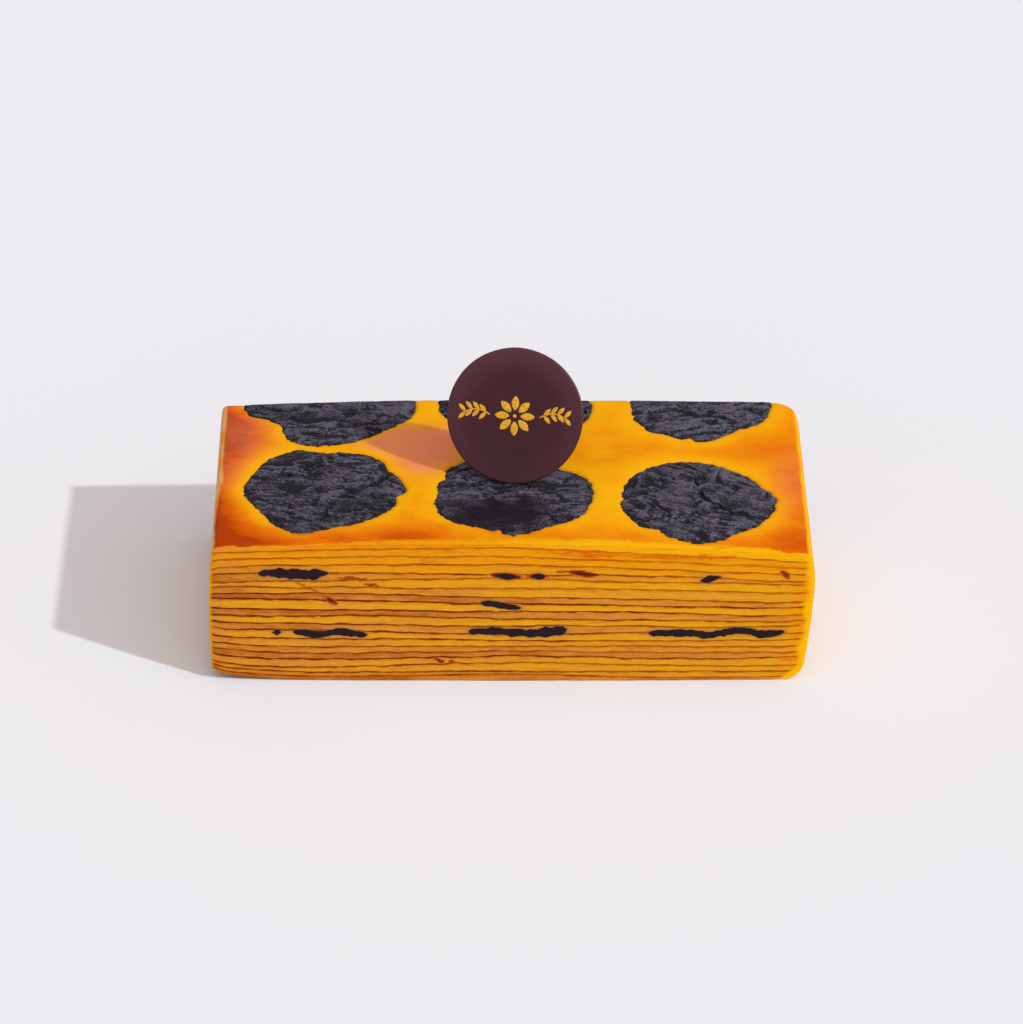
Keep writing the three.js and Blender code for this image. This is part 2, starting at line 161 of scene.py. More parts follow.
# Stains on the front cut, from (x, z) to (x, z), with a half width and a strength.
# They are prune that the knife dragged along.
FRONT_STAINS = (
    ((-63.9, 34.1), (-54.5, 28.8), 0.3, 0.75),
    ((-54.6, 28.4), (-51, 26.2), 0.8, 1),
    ((-51, 35.2), (-42.3, 34.6), 0.45, 0.8),
    ((-43.4, 33.2), (-38.5, 32.3), 0.5, 0.8),
    ((-5.8, 36.4), (2.6, 35.4), 1.1, 0.9),
    ((5, 35.9), (10.6, 35.7), 1, 0.7),
    ((12.6, 37.2), (17, 37.4), 0.5, 0.7),
    ((17.6, 37.3), (25.3, 36.2), 1, 1),
    ((-22.4, 7), (-20.3, 6.8), 0.8, 1),
    ((-18.6, 7), (-17.4, 6.9), 0.6, 0.9),
    ((78.9, 37.3), (81.6, 34.8), 0.9, 0.85),
    ((-67.2, 38.3), (-67, 38.1), 0.4, 1),
    ((-60.5, 38.9), (-60.2, 38.7), 0.35, 0.8),
)
# The same for golden skin that the knife dragged down over the crumb.
FRONT_SMEARS = (
    ((-64, 46), (-3, 46.7), 0.9, 0.4),
    ((-16.3, 46.8), (-13.5, 46.4), 0.5, 0.9),
    ((-24, 42.9), (-25.8, 40.6), 0.6, 0.9),
    ((21.5, 32.3), (27.5, 28.6), 0.5, 0.6),
    ((5, 44.6), (14, 44.2), 0.5, 0.7),
    ((12, 43.9), (31, 42.9), 1.2, 1),
    ((31, 42.6), (66, 42), 0.8, 0.95),
    ((-25, 44.8), (-16, 44.8), 0.5, 0.7),
    ((66, 39.5), (84, 38.4), 0.5, 0.6),
    ((-72, 43), (-52, 44.4), 0.3, 0.6),
    ((-27, 41.5), (-20, 41.2), 0.35, 0.7),
    ((52, 27.5), (62, 27.3), 0.25, 0.7),
    ((79, 6.8), (85, 7.4), 0.7, 0.7),
    ((-8, 4), (22, 3.6), 0.3, 0.6),
    ((-46, 3.4), (-20, 2.9), 0.3, 0.6),
)

# Width of the strip of bare crumb along the top's front edge, at each x.
SCRAPE_X = (-89, -58, -45, -28, 0, 25, 45, 72, 80, 89)
SCRAPE_WIDTH = (0, 0.2, 1, 2, 2.3, 2.5, 1.6, 1.8, 0.4, 0.2)

# Browner or paler places of the skin: middle, reach along x and y, and how much browner.
TOAST_PATCHES = (
    ((-86, 20), (12, 26), 0.62),
    ((-86, -12), (12, 16), 0.4),
    ((-90, -36), (16, 17), 0.72),
    ((-80, 38), (10, 10), 0.45),
    ((-67, -42), (20, 7), 0.36),
    ((-32, -41), (18, 8), 0.4),
    ((10, -43), (26, 4), 0.2),
    ((86, -10), (9, 26), 0.3),
    ((82, -40), (15, 8), 0.35),
    ((74, 18), (18, 10), 0.12),
    ((27, -10), (8, 22), -0.3),
    ((27, 40), (10, 16), -0.25),
    ((-26, 38), (8, 12), -0.2),
    ((-27, -4), (5, 7), -0.16),
)
# Dull patches of it: the first two and the last, at the left and right rims. The middle five are painted
# shadow, a duller and pinker skin where the disc's shadow falls beside it.
DULL_AND_SHADOW_PATCHES = (
    ((-80, 24), (8, 18), 0.33),
    ((-84, 0), (5, 10), 0.15),
    ((-35, 19), (6, 6.5), 1.5),
    ((-26, 16), (9, 8), 1.5),
    ((-24, 5), (7, 6), 1.3),
    ((-41, 15), (4, 3), 0.5),
    ((-21, 20), (5, 5), 0.9),
    ((83, -3), (6, 15), 0.25),
)
# Places where the skin isn't golden round the prunes.
BROWN_TO_PRUNE = (
    ((-84, 36), (14, 16), 0.8),
    ((86, 0), (14, 40), 0.7),
)
TOAST_BASE = 0.42
HALO_REACH = 5.5  # round a prune the skin stays golden this far


# ---- Noise ----

HASH_PRIMES = (73856093, 19349663, 83492791)
HASH_ROUNDS = ((15, 2246822519), (13, 3266489917))
LOW_BITS = np.uint64(0xFFFFFFFF)


def smooth_step(value):
    t = np.clip(value, 0, 1)
    return t * t * (3 - 2 * t)


def lerp(a, b, t):
    return a + (b - a) * t


def along_line(x, y, start, end):
    """How far along a line points lie, from 0 at its start to 1 at its end, and how far from it."""
    (x0, y0), (x1, y1) = start, end
    along = ((x - x0) * (x1 - x0) + (y - y0) * (y1 - y0)) / ((x1 - x0) ** 2 + (y1 - y0) ** 2)
    along = np.clip(along, 0, 1)
    return along, np.hypot(x - lerp(x0, x1, along), y - lerp(y0, y1, along))


def lattice_value(cells, seed):
    """A fixed value from -1 to 1 at each whole-number point."""
    n = np.full(cells[0].shape, seed * 668265263 & 0xFFFFFFFF, np.uint64)
    for cell, prime in zip(cells, HASH_PRIMES):
        n ^= (cell.view(np.uint64) * np.uint64(prime)) & LOW_BITS
    for shift, factor in HASH_ROUNDS:
        n = ((n ^ (n >> np.uint64(shift))) * np.uint64(factor)) & LOW_BITS
    return (n ^ (n >> np.uint64(16))) / 2.0**31 - 1


def noise(coordinates, seed=0):
    """Smooth noise from -1 to 1, with one array of coordinates for each axis."""
    arrays = np.broadcast_arrays(*[np.asarray(c, float) for c in coordinates])
    cells = [np.floor(c).astype(np.int64) for c in arrays]
    blends = [smooth_step(c - cell) for c, cell in zip(arrays, cells)]
    total = 0
    for corner in itertools.product((0, 1), repeat=len(arrays)):
        weight = 1
        for bit, blend in zip(corner, blends):
            weight = weight * (blend if bit else 1 - blend)
        total = total + weight * lattice_value([cell + bit for cell, bit in zip(cells, corner)], seed)
    return total


def octave_sum(coordinates, octaves, seed, shape):
    """Sum of ever finer and weaker noise, each put through a function first."""
    total = 0
    for octave in range(octaves):
        finer = noise([c * 2.1**octave for c in coordinates], seed + octave)
        total = total + shape(finer) / 2**octave
    return total


def fractal(coordinates, octaves, seed=0):
    """Noise with finer noise on it, from about -1 to 1."""
    return octave_sum(coordinates, octaves, seed, lambda value: value) / 1.5


def ridged(coordinates, octaves, seed=0):
    """Noise with sharp ridges, from about 0 to 1."""
    most = 2 - 2.0 ** (1 - octaves)
    return octave_sum(coordinates, octaves, seed, lambda value: 1 - np.abs(value)) / most


# ---- Surfaces of the cake ----


def front_y(x):
    return -DEPTH / 2 + FRONT_BOW * (x / HALF) ** 2


def back_y(from_right_end):
    past = np.clip(BACK_CORNER_RADIUS - from_right_end, 0, BACK_CORNER_RADIUS)
    return DEPTH / 2 - BACK_CORNER_RADIUS + np.sqrt(BACK_CORNER_RADIUS**2 - past**2)


def top_height(x, y):
    backward = y / DEPTH + 0.5
    right_drop = lerp(CROWN_DROP["right_front"], CROWN_DROP["right_back"], backward)
    left = CROWN_DROP["left"] * ((x - PEAK_X) / (-HALF - PEAK_X)) ** 2
    right = right_drop * ((x - PEAK_X) / (HALF - PEAK_X)) ** 2
    return PEAK_HEIGHT - np.where(x < PEAK_X, left, right) - BACK_DROP * backward


def bottom_height(x):
    flat = FLAT_BOTTOM / 2
    lift = np.where(x < 0, END_LIFT["left"], END_LIFT["right"])
    return lift * np.clip((np.abs(x) - flat) / (HALF - flat), 0, 1) ** LIFT_POWER


def share_at(k, x):
    left, middle, right = MEASURED_X
    to_middle = lerp(SHARES[0, k], SHARES[1, k], smooth_step((x - left) / (middle - left)))
    to_right = lerp(SHARES[1, k], SHARES[2, k], smooth_step((x - middle) / (right - middle)))
    return np.where(x > middle, to_right, to_middle)


def curl_at(share):
    around = LEFT_CURL["around"]
    down = np.clip(1 - share / around, 0, 1)
    below = LEFT_CURL["corner"] * down**CORNER_POWER + LEFT_CURL["rise"] * np.sin(math.pi / 2 * down)
    above = -LEFT_CURL["fall"] * np.sin(math.pi * (share - around) / (1 - around))
    return np.where(share < around, below, above)


def line_height(k, x, y):
    """Height of the line between layer k and the one above it, as in the CAD but with small wiggles."""
    share = share_at(k, x)
    inside = np.sin(math.pi * share)
    low = bottom_height(x)
    spread = k * 7 % LAYERS / LAYERS
    wave_length = lerp(WAVE_LENGTH["shortest"], WAVE_LENGTH["longest"], spread)
    wave = WAVE_HEIGHT * inside * np.sin(2 * math.pi * (x + 0.5 * y) / wave_length + k * GOLDEN_ANGLE)
    curl = curl_at(share) * np.exp(-(x + HALF) / LEFT_CURL["reach"])
    rise = RIGHT_RISE["rise"] * inside * np.exp((x - HALF) / RIGHT_RISE["reach"])
    swing = 0.26 * noise((x / 12, y / 17 + 0.9 * k), 3)
    wiggle = 0.22 * noise((x / 4.2, y / 7 + 0.8 * k), 4) + 0.09 * noise((x / 1.5, y / 3 + 0.9 * k), 5)
    shaken = (swing + wiggle) * np.minimum(1, 4 * inside)
    return low + (top_height(x, y) - low) * share + wave + curl + rise + shaken


def side_inset(side, z):
    above = np.clip(z - side["widest"], 0, None) / (PEAK_HEIGHT - side["widest"])
    below = np.clip(side["widest"] - z, 0, None) / side["widest"]
    under = np.clip(side["corner"] - z, 0, side["corner"])
    turn = side["corner"] - np.sqrt(side["corner"] ** 2 - under**2)
    return side["rim"] * above**2 + side["foot"] * below**FOOT_POWER + turn


# ---- Outlines of the prunes ----

# Bays of a torn edge, or points where the depth is negative: hour, width in hours, and depth.
BAYS = {
    "front_left": (
        (1.85, 0.25, 0.9),
        (2.95, 0.15, -1),
        (3.38, 0.17, 1.5),
        (5.7, 0.4, 0.9),
        (6.6, 0.25, -1.7),
        (9.4, 0.4, -1),
        (11.4, 0.2, -1),
    ),
    "front_middle": (
        (6.45, 0.12, 1.7),
        (6.1, 0.12, -0.8),
        (9.2, 0.15, 1),
        (9.65, 0.12, -0.7),
        (9.95, 0.08, 1.3),
        (10.4, 0.2, -1.5),
    ),
    "front_right": ((2.12, 0.15, 1), (2.7, 0.2, -0.9), (7.15, 0.15, 1.1), (7.6, 0.15, -0.7), (9, 0.1, 0.8)),
    "back_left": ((3.45, 0.3, -0.9), (4.4, 0.12, 0.7), (8.5, 0.25, 1.2), (9.2, 0.2, -0.4)),
    "back_right": ((3.6, 0.3, -0.6), (4.55, 0.25, 1), (6.35, 0.12, 1.6), (6.05, 0.12, -0.5), (7.55, 0.2, -1)),
}


def reach_at(reach, turn):
    """A prune's reach at a turn from 0 to 1, clockwise from twelve o'clock."""
    reach = np.asarray(reach, float)
    position = np.mod(turn, 1) * len(reach)
    hour = np.floor(position).astype(int)
    t = position - hour
    a, b, c, d = [reach[(hour + step) % len(reach)] for step in (-1, 0, 1, 2)]
    return b + 0.5 * t * (c - a + t * (2 * a - 5 * b + 4 * c - d + t * (3 * (b - c) + d - a)))


def ragged_reach(prune, angle):
    """The same with the small bays and points of a torn edge."""
    (x, y), reach = TOP_PRUNES[prune]
    seed = int(100 + x + y)
    round_x, round_y = np.sin(angle), np.cos(angle)
    lumps = 0.45 * fractal((round_x * 6, round_y * 6), 2, seed)
    nicks = 0.9 * (ridged((round_x * 14, round_y * 14), 2, seed + 9) - 0.65)
    total = reach_at(reach, angle / (2 * math.pi)) + lumps - nicks
    for hour, width, depth in BAYS.get(prune, ()):
        away = np.mod(angle / (2 * math.pi) * 12 - hour + 6, 12) - 6
        total = total - depth * np.exp(-((away / width) ** 2))
    return total


def outside_prune(prune, x, y):
    """Distance outwards from the edge of one top prune."""
    middle_x, middle_y = TOP_PRUNES[prune][0]
    across, along = x - middle_x, y - middle_y
    return np.hypot(across, along) - ragged_reach(prune, np.arctan2(across, along))


def slice_middle(piece, x):
    _, _, height, _, wave, wave_length, wave_start = piece
    swell = wave * np.sin(2 * math.pi * np.maximum(0, x - wave_start) / wave_length)
    return height + swell + 0.18 * noise((x / 2.6, height), 41)


def slice_half(piece, x):
    """Half the thickness of a prune in a cut, which thins towards its ends and is uneven."""
    start, end, height, thickness = piece[:4]
    from_tip = np.clip(np.minimum(x - start, end - x), 0, None)
    point = thickness * (1.4 + 1.1 * noise((np.where(x - start < end - x, start, end), height), 45))
    taper = np.clip(1 - (1 - np.minimum(from_tip / point, 1)) ** 2, 0, 1) ** 0.9
    lumps = 0.92 + 0.25 * noise((x / 5, height), 44) + 0.25 * fractal((x / 1.7, height), 3, 43)
    return thickness / 2 * taper * lumps


def outside_slice(piece, x, z):
    """Distance outwards from the edge of one prune in a cut, roughly."""
    start, end = piece[:2]
    beyond = np.maximum(0, np.maximum(start - x, x - end))
    above = np.abs(z - slice_middle(piece, x)) - slice_half(piece, x)
    return np.where(beyond > 0, np.hypot(beyond, np.maximum(above, 0)), above)


def nearest_slice(pieces, x, z):
    return np.minimum.reduce([outside_slice(piece, x, z) for piece in pieces.values()])


# ---- Meshes ----


def full_turn(steps):
    return 2 * math.pi * np.arange(steps) / steps


def grid_quads(grid):
    return np.stack([grid[:-1, :-1], grid[1:, :-1], grid[1:, 1:], grid[:-1, 1:]], -1).reshape(-1, 4)


def box_lattice(shape):
    """Quads over the six sides of a lattice, and the indices of the vertices that they use."""
    index = np.arange(np.prod(shape)).reshape(shape)
    sides = (
        index[:, :, -1],
        index[:, ::-1, 0],
        index[:, 0, :],
        index[::-1, -1, :],
        index[0, ::-1, :],
        index[-1, :, :],
    )
    quads = np.concatenate([grid_quads(side) for side in sides])
    used, packed = np.unique(quads, return_inverse=True)
    return packed.reshape(-1, 4), np.unravel_index(used, shape)


def ring_faces(rings, steps, first=0):
    """Faces of a closed body: a start point, rings of points and an end point, in that order."""
    ring = first + 1 + np.arange(rings * steps).reshape(rings, steps)
    ring = np.concatenate([ring, ring[:, :1]], 1)
    end = first + 1 + rings * steps
    quads = np.stack([ring[:-1, :-1], ring[:-1, 1:], ring[1:, 1:], ring[1:, :-1]], -1).reshape(-1, 4)
    start_fan = [(first, b, a) for a, b in zip(ring[0, :-1], ring[0, 1:])]
    end_fan = [(end, a, b) for a, b in zip(ring[-1, :-1], ring[-1, 1:])]
    return quads, np.array(start_fan + end_fan)


def ring_points(start, rings, end):
    return np.concatenate([np.reshape(start, (1, 3)), rings.reshape(-1, 3), np.reshape(end, (1, 3))])


def make_mesh(name, points, quads, triangles=None, attributes=None):
    triangles = np.zeros((0, 3), int) if triangles is None else triangles
    mesh = bpy.data.meshes.new(name)
    loops = np.concatenate([quads.ravel(), triangles.ravel()]).astype(np.int32)
    totals = np.concatenate([np.full(len(quads), 4), np.full(len(triangles), 3)]).astype(np.int32)
    starts = np.concatenate([[0], np.cumsum(totals)[:-1]]).astype(np.int32)
    mesh.vertices.add(len(points))
    mesh.vertices.foreach_set("co", (points * MM).astype(np.float32).ravel())
    mesh.loops.add(len(loops))
    mesh.loops.foreach_set("vertex_index", loops)
    mesh.polygons.add(len(totals))
    mesh.polygons.foreach_set("loop_start", starts)
    mesh.polygons.foreach_set("loop_total", totals)
    mesh.polygons.foreach_set("use_smooth", np.ones(len(totals), bool))
    for attribute, values in (attributes or {}).items():
        data = mesh.attributes.new(attribute, "FLOAT", "POINT").data
        data.foreach_set("value", np.broadcast_to(values, len(points)).astype(np.float32))
    mesh.update(calc_edges=True)
    return mesh


def add_object(name, data):
    item = bpy.data.objects.new(name, data)
    bpy.context.scene.collection.objects.link(item)
    return item


def add_piece(mesh, material, nodes=()):
    """Puts a mesh into the scene as a piece of the cake, in place of the CAD nodes named."""
    mesh.materials.append(material)
    piece = add_object(mesh.name, mesh)
    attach(piece, "root")
    if nodes:
        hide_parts(*nodes)


# ---- Layers ----


def row_shares(middle_step):
    """Where rows of vertices lie from the front cut to the back cut, as shares of the depth."""
    edge = EDGE_OFFSETS[-1]
    middle = np.linspace(edge, DEPTH - edge, round((DEPTH - 2 * edge) / middle_step) + 1)
    back = [DEPTH - offset for offset in reversed(EDGE_OFFSETS[:-1])]
    return np.concatenate([EDGE_OFFSETS[:-1], middle, back]) / DEPTH


def column_shares():
    """Where columns of vertices lie from the left end to the right, closer together near the ends."""
    middle = np.arange(1.55, LENGTH - 1.5, LAYER_COLUMN)
    right = [LENGTH - offset for offset in reversed(END_OFFSETS)]
    return np.concatenate([END_OFFSETS, middle, right]) / LENGTH


def cut_relief(x, z, seed):
    """How far the face of a cut stands back, from the knife's drag and the crumb."""
    drag = 0.07 * noise((x / 16, z / 1.7), seed)
    crumb = 0.05 * fractal((x / 1.7, z / 0.9), 3, seed + 1)
    return FACE_INSET + drag + crumb


def groove(k, x, z, low, high):
    """Extra depth of a cut's face near the lines under and over layer k."""
    uneven = 0.75 + 0.45 * noise((x / 5, np.where(z - low < high - z, k - 1, k) * 9.7), 51)
    near = np.minimum(z - low, high - z)
    edge = np.where(z - low < high - z, k == 1, k == LAYERS)
    depth = np.where(edge, 2 * GROOVE_DEPTH, GROOVE_DEPTH)
    return depth * uneven * np.exp(-((near / GROOVE_REACH) ** 2))


def pocket(pieces, x, z):
    """Extra depth of a cut's face behind the prunes in it."""
    return POCKET_DEPTH * smooth_step((-0.35 - nearest_slice(pieces, x, z)) / 0.25)


def skin_relief(x, y, from_front, from_ends):
    """How far the skin stands below the CAD's top, and how far the nearest prune's edge is."""
    swell = 0.14 * noise((x / 21, y / 17), 61) + 0.04 * fractal((x / 6, y / 5), 2, 63)
    nearest = np.minimum.reduce([outside_prune(prune, x, y) for prune in TOP_PRUNES])
    lip = LIP_DROP * np.exp(-np.maximum(nearest, 0) / 0.9)
    hollow = HOLLOW_DEPTH * smooth_step((-0.1 - nearest) / 0.7)
    front_round = RIM_DROP["front"] * np.exp(-((from_front / 0.7) ** 2))
    end_round = RIM_DROP["end"] * np.clip(1 - from_ends / 1.6, 0, 1) ** 2
    scraped = from_front < np.interp(x, SCRAPE_X, SCRAPE_WIDTH)
    torn = scraped * (0.16 + 0.14 * fractal((x / 2.5, y / 0.8), 3, 65))
    return FACE_INSET + swell + lip + hollow + front_round + end_round + torn, nearest


def toast_at(x, y, nearest):
    toast = TOAST_BASE + 0.1 * fractal((x / 17, y / 14), 2, 71) + patches_at(TOAST_PATCHES, x, y)
    halo = np.exp(-((np.maximum(nearest, 0) / HALO_REACH) ** 1.5))
    browner = np.clip(smooth_step((-26 - y) / 12) + patches_at(BROWN_TO_PRUNE, x, y), 0, 1)
    return toast * (1 - lerp(0.9, 0.3, browner) * halo)


def clear_of_right_rim(x, y, from_right):
    """0 on the thin strip along the right end where the yellow of the tin side comes up over the rim."""
    return smooth_step((from_right - 0.75 - 0.3 * noise((y / 6, x / 6), 77)) / 0.5)


def pared_at(x, y, from_left):
    """Where the rim of the left side is pared down to pale crumb."""
    width = lerp(0.7, 1.7, smooth_step((y + 22) / 20)) + 0.35 * fractal((y / 4, x / 4), 2, 75)
    return smooth_step((width - from_left) / 0.5)


def patches_at(patches, x, y):
    """Sum of soft oval patches."""
    total = np.zeros_like(x)
    for (middle_x, middle_y), (reach_x, reach_y), strength in patches:
        away = ((x - middle_x) / reach_x) ** 2 + ((y - middle_y) / reach_y) ** 2
        total = total + strength * np.exp(-away)
    return total


def dragged_at(marks, x, z):
    """Strength of the marks that the knife dragged over the front cut."""
    shaken_x = x + 0.5 * noise((x / 1.1, z / 1.1), 81)
    shaken_z = z + 0.35 * noise((x / 1.3, z / 1.3), 82)
    total = np.zeros_like(x)
    for start, end, half_width, strength in marks:
        along, away = along_line(shaken_x, shaken_z, start, end)
        tapered = half_width * (0.4 + 0.6 * np.sin(math.pi * along))
        total = np.maximum(total, strength * smooth_step(1.5 - away / tapered))
    return total


def skin_attributes(x, y, level_share, from_front, from_left, from_right, nearest):
    """What the material of the top layer needs to know besides."""
    scrape = np.interp(x, SCRAPE_X, SCRAPE_WIDTH) + 0.5 * fractal((x / 3, y / 3), 3, 67)
    cover = smooth_step((from_front - scrape) / 0.35 + 0.5) * clear_of_right_rim(x, y, from_right)
    # Dull rims, and painted shadow of the disc beside it on the skin.
    dull_and_shadow = np.clip(patches_at(DULL_AND_SHADOW_PATCHES, x, y), 0, 1)
    return {
        "skin": np.where(level_share == 1, cover, 0),
        "toast": toast_at(x, y, nearest),
        "dull_and_shadow": dull_and_shadow * smooth_step((nearest - 0.3) / 2.5),
        "shore": np.exp(-np.abs(nearest) / 0.7),
        # Painted light: on the top layer the deep yellow is painted paler towards the right, where the light
        # is brighter.
        "painted_light_to_right": 0.8 * smooth_step((x + 30) / 60),
        "pared": pared_at(x, y, from_left) * smooth_step((level_share - 0.55) / 0.4),
    }


def layer_mesh(k):
    """Layer k between its two lines, with its cut faces in relief and what its material needs to know."""
    top = k == LAYERS
    columns = column_shares()
    rows = row_shares(TOP_ROW if top else MIDDLE_ROW)
    levels = np.array(LAYER_LEVELS)
    quads, (column, row, level) = box_lattice((len(columns), len(rows), len(levels)))
    row_share, level_share = rows[row], levels[level]

    left_z, right_z = [
        lerp(line_height(k - 1, end, 0), line_height(k, end, 0), level_share) for end in (-HALF, HALF)
    ]
    left = -HALF + side_inset(LEFT_SIDE, left_z)
    right = HALF - side_inset(RIGHT_SIDE, right_z)
    x = lerp(left, right, columns[column])
    from_left, from_right = x - left, right - x
    front, back = front_y(x), back_y(from_right)
    x = x - RIGHT_TAPER * np.clip(x / HALF, 0, 1) * row_share
    y = lerp(front, back, row_share)
    low, high = line_height(k - 1, x, y), line_height(k, x, y)
    z = lerp(low, high, level_share)

    near_end = np.minimum(from_left, from_right)
    corner = CORNER_ROUND * np.clip(1 - near_end / 0.9, 0, 1) ** 2
    edge = groove(k, x, z, low, high) * smooth_step(near_end / 2) + corner
    front_face = front + cut_relief(x, z, 53) + edge + pocket(FRONT_SLICES, x, z)
    back_face = back - cut_relief(x, z, 57) - edge - pocket(BACK_SLICES, x, z)
    y = lerp(front_face, back_face, row_share)

    attributes = {
        "level": level_share,
        "thick": high - low,
        "tone": tone_at(k, x, z),
        "rich": rich_at(x, z, from_right),
        "line": line_strength(k, x, z, from_left, from_right),
        "under": line_strength(k - 1, x, z, from_left, from_right) if k > 1 else 0,
        "end": end_skin(y, z, from_left, from_right),
        "side": np.exp(-near_end / 0.3),
        "stain": np.where(row_share < 0.5, dragged_at(FRONT_STAINS, x, z), 0),
        "smear": np.where(row_share < 0.5, dragged_at(FRONT_SMEARS, x, z), 0),
        "halo": halo_at(x, z, row_share),
    }
    if top:
        from_front = y - front_face
        down, nearest = skin_relief(x, y, from_front, near_end)
        z = z - down * smooth_step((level_share - 0.1) / 0.9)
        attributes |= skin_attributes(x, y, level_share, from_front, from_left, from_right, nearest)
    return make_mesh(f"layer_{k:02d}", np.stack([x, y, z], 1), quads, attributes=attributes)


def upper_left(x, z):
    """1 at the upper left of the cuts, where the crumb is browner, and 0 away from it."""
    return smooth_step((-68 - x) / 14) * smooth_step((z - 24) / 8)


def tone_at(k, x, z):
    """How brown the crumb of layer k is, with painted shade: browner towards the left end, paler towards the
    right.
    """
    uneven = 0.16 * noise((x / 22, k * 5.3), 91)
    return LAYER_TONE[k - 1] + uneven - PAINTED_SHADE_TO_LEFT * x / HALF + 0.2 * upper_left(x, z)


def rich_at(x, z, from_right):
    """How deep a yellow the crumb is, near the top and near the right end."""
    near_top = 0.75 * smooth_step((z - 31) / 10) * (1 - 0.4 * upper_left(x, z))
    return np.maximum(near_top, 0.7 * np.exp(-(((from_right - 3) / 4) ** 2)))


def line_strength(k, x, z, from_left, from_right):
    """Strength of the browned line on top of layer k, which comes and goes and fades into the tin sides."""
    uneven = 0.22 * noise((x / 8, k * 3.1), 93) + 0.1 * noise((x / 2, k * 4.7), 94)
    comes_and_goes = 0.93 - 0.25 * x / HALF + uneven
    into_right = smooth_step((from_right - 1.2 - 1.3 * noise((z / 1.5, k), 95)) / 2.5)
    into_left = 0.35 + 0.65 * smooth_step(from_left / 1.2)
    return LINE_STRENGTH[k - 1] * comes_and_goes * into_right * into_left


def end_skin(y, z, from_left, from_right):
    """How much of the smooth yellow skin of the tin sides shows."""
    uneven = 0.8 * noise((z / 5, y / 9), 97) + noise((z / 1.3, y / 5), 99)
    right_depth = 1.9 + uneven + 2.2 * smooth_step((5 - z) / 5)
    left_depth = 0.35 + 0.3 * noise((z / 5, y / 9), 98)
    right = smooth_step((right_depth - from_right) / 1.7 + 0.5)
    left = smooth_step((left_depth - from_left) / 0.7 + 0.5)
    return np.maximum(right, left)


def halo_at(x, z, row_share):
    """Where juice from the prunes in the cuts stains the crumb."""
    away = np.where(row_share < 0.5, nearest_slice(FRONT_SLICES, x, z), nearest_slice(BACK_SLICES, x, z))
    return np.exp(-np.maximum(away, 0) / 0.55)


# ---- Prunes on top ----

PRUNE_RINGS = 96
PRUNE_STEPS = 480
PRUNE_BODY = 1.15  # thickness below the cake's top
EDGE_TUCK = 0.75  # how far its edge is tucked down
BEHIND_CUT = 0.15  # how far the prunes that the back cut runs through stay inside it
# Clefts in a prune's face: from (x, y) to (x, y), both from its middle, half width and depth.
CLEFTS = {
    "front_left": (
        ((-12, 3.5), (-8, 2.5), 1.8, 0.8),
        ((20, 11), (14, 2), 0.6, 1.1),
        ((14, 2), (4, -4), 0.6, 0.6),
    ),
    "front_middle": (((9, -9), (12, -14), 0.6, 0.7),),
    "front_right": (
        ((0.8, 14), (0, 9.5), 0.8, 1.1),
        ((0.5, 5), (2, 0), 0.6, 1.3),
        ((2, 0), (-1.5, -3), 0.6, 0.9),
        ((2, 0), (15.5, -8.5), 0.5, 1),
        ((9.5, -5.5), (15, -9), 0.7, 0.7),
        ((-14, -3), (-9, -7.5), 0.9, 0.9),
    ),
    "back_left": (((-14, -6), (4, -8), 1.1, 0.6),),
    "back_right": (((-8, -3), (6, -6), 0.9, 0.8), ((14, -1), (18, -4), 0.8, 0.6)),
}
SMOOTH_PATCH = {"middle": (-4, -27), "reach": (20, 13)}  # pressed flat in front of the disc, and painted darker there as the disc's reflection and shade
# The angle that the wrinkles of each prune run at, and how pale it is.
PRUNE_LOOKS = {
    "front_left": (-0.3, 0.4),
    "front_middle": (0.15, 0.46),
    "front_right": (-0.35, 0.5),
    "back_left": (-0.15, 0.52),
    "back_middle": (0, 0.48),
    "back_right": (0.2, 0.58),
}


def smooth_patch(x, y):
    (middle_x, middle_y), (reach_x, reach_y) = SMOOTH_PATCH["middle"], SMOOTH_PATCH["reach"]
    away = np.hypot((x - middle_x) / reach_x, (y - middle_y) / reach_y)
    return smooth_step((1.2 + 0.35 * fractal((x / 4, y / 3), 2, 101) - away) / 0.9)


def wrinkles(x, y, grain, seed):
    """Height of a pressed prune's folds, and of its finer wrinkles, in millimetres from about -1 to 1."""
    along = x * math.cos(grain) + y * math.sin(grain) + 3 * fractal((x / 9, y / 7), 2, seed + 1)
    across = y * math.cos(grain) - x * math.sin(grain) + 2.6 * fractal((x / 10, y / 8), 2, seed + 2)
    across = across + 0.5 * fractal((x / 2, y / 1.6), 2, seed + 5)
    folds = 1.4 * (ridged((along / 11, across / 4.5), 2, seed + 3) - 0.65)
    pleats = 1.5 * (ridged((along / 5, across / 1.6), 2, seed + 4) - 0.65)
    creases = 0.85 * (ridged((along / 2, across / 0.75), 2, seed + 6) - 0.65)
    busy = 0.4 + 0.6 * smooth_step(0.5 + 1.2 * noise((x / 7, y / 5), seed + 7))
    crack = np.clip(1 - np.abs(noise((along / 7, across / 3.5), seed + 8)) / 0.08, 0, 1)
    broken = smooth_step(noise((x / 5, y / 4), seed + 9) * 3)
    return folds, (pleats + creases) * busy - 0.7 * crack * broken


def clefts_at(prune, x, y):
    """Depth of the clefts at places given from the prune's middle."""
    shaken_x = x + 0.9 * noise((x / 2, y / 2), 103)
    shaken_y = y + 0.9 * noise((x / 2, y / 2), 104)
    total = np.zeros_like(x)
    for start, end, half_width, depth in CLEFTS.get(prune, ()):
        _, away = along_line(shaken_x, shaken_y, start, end)
        total = total + depth * np.exp(-((away / half_width) ** 2))
    return total


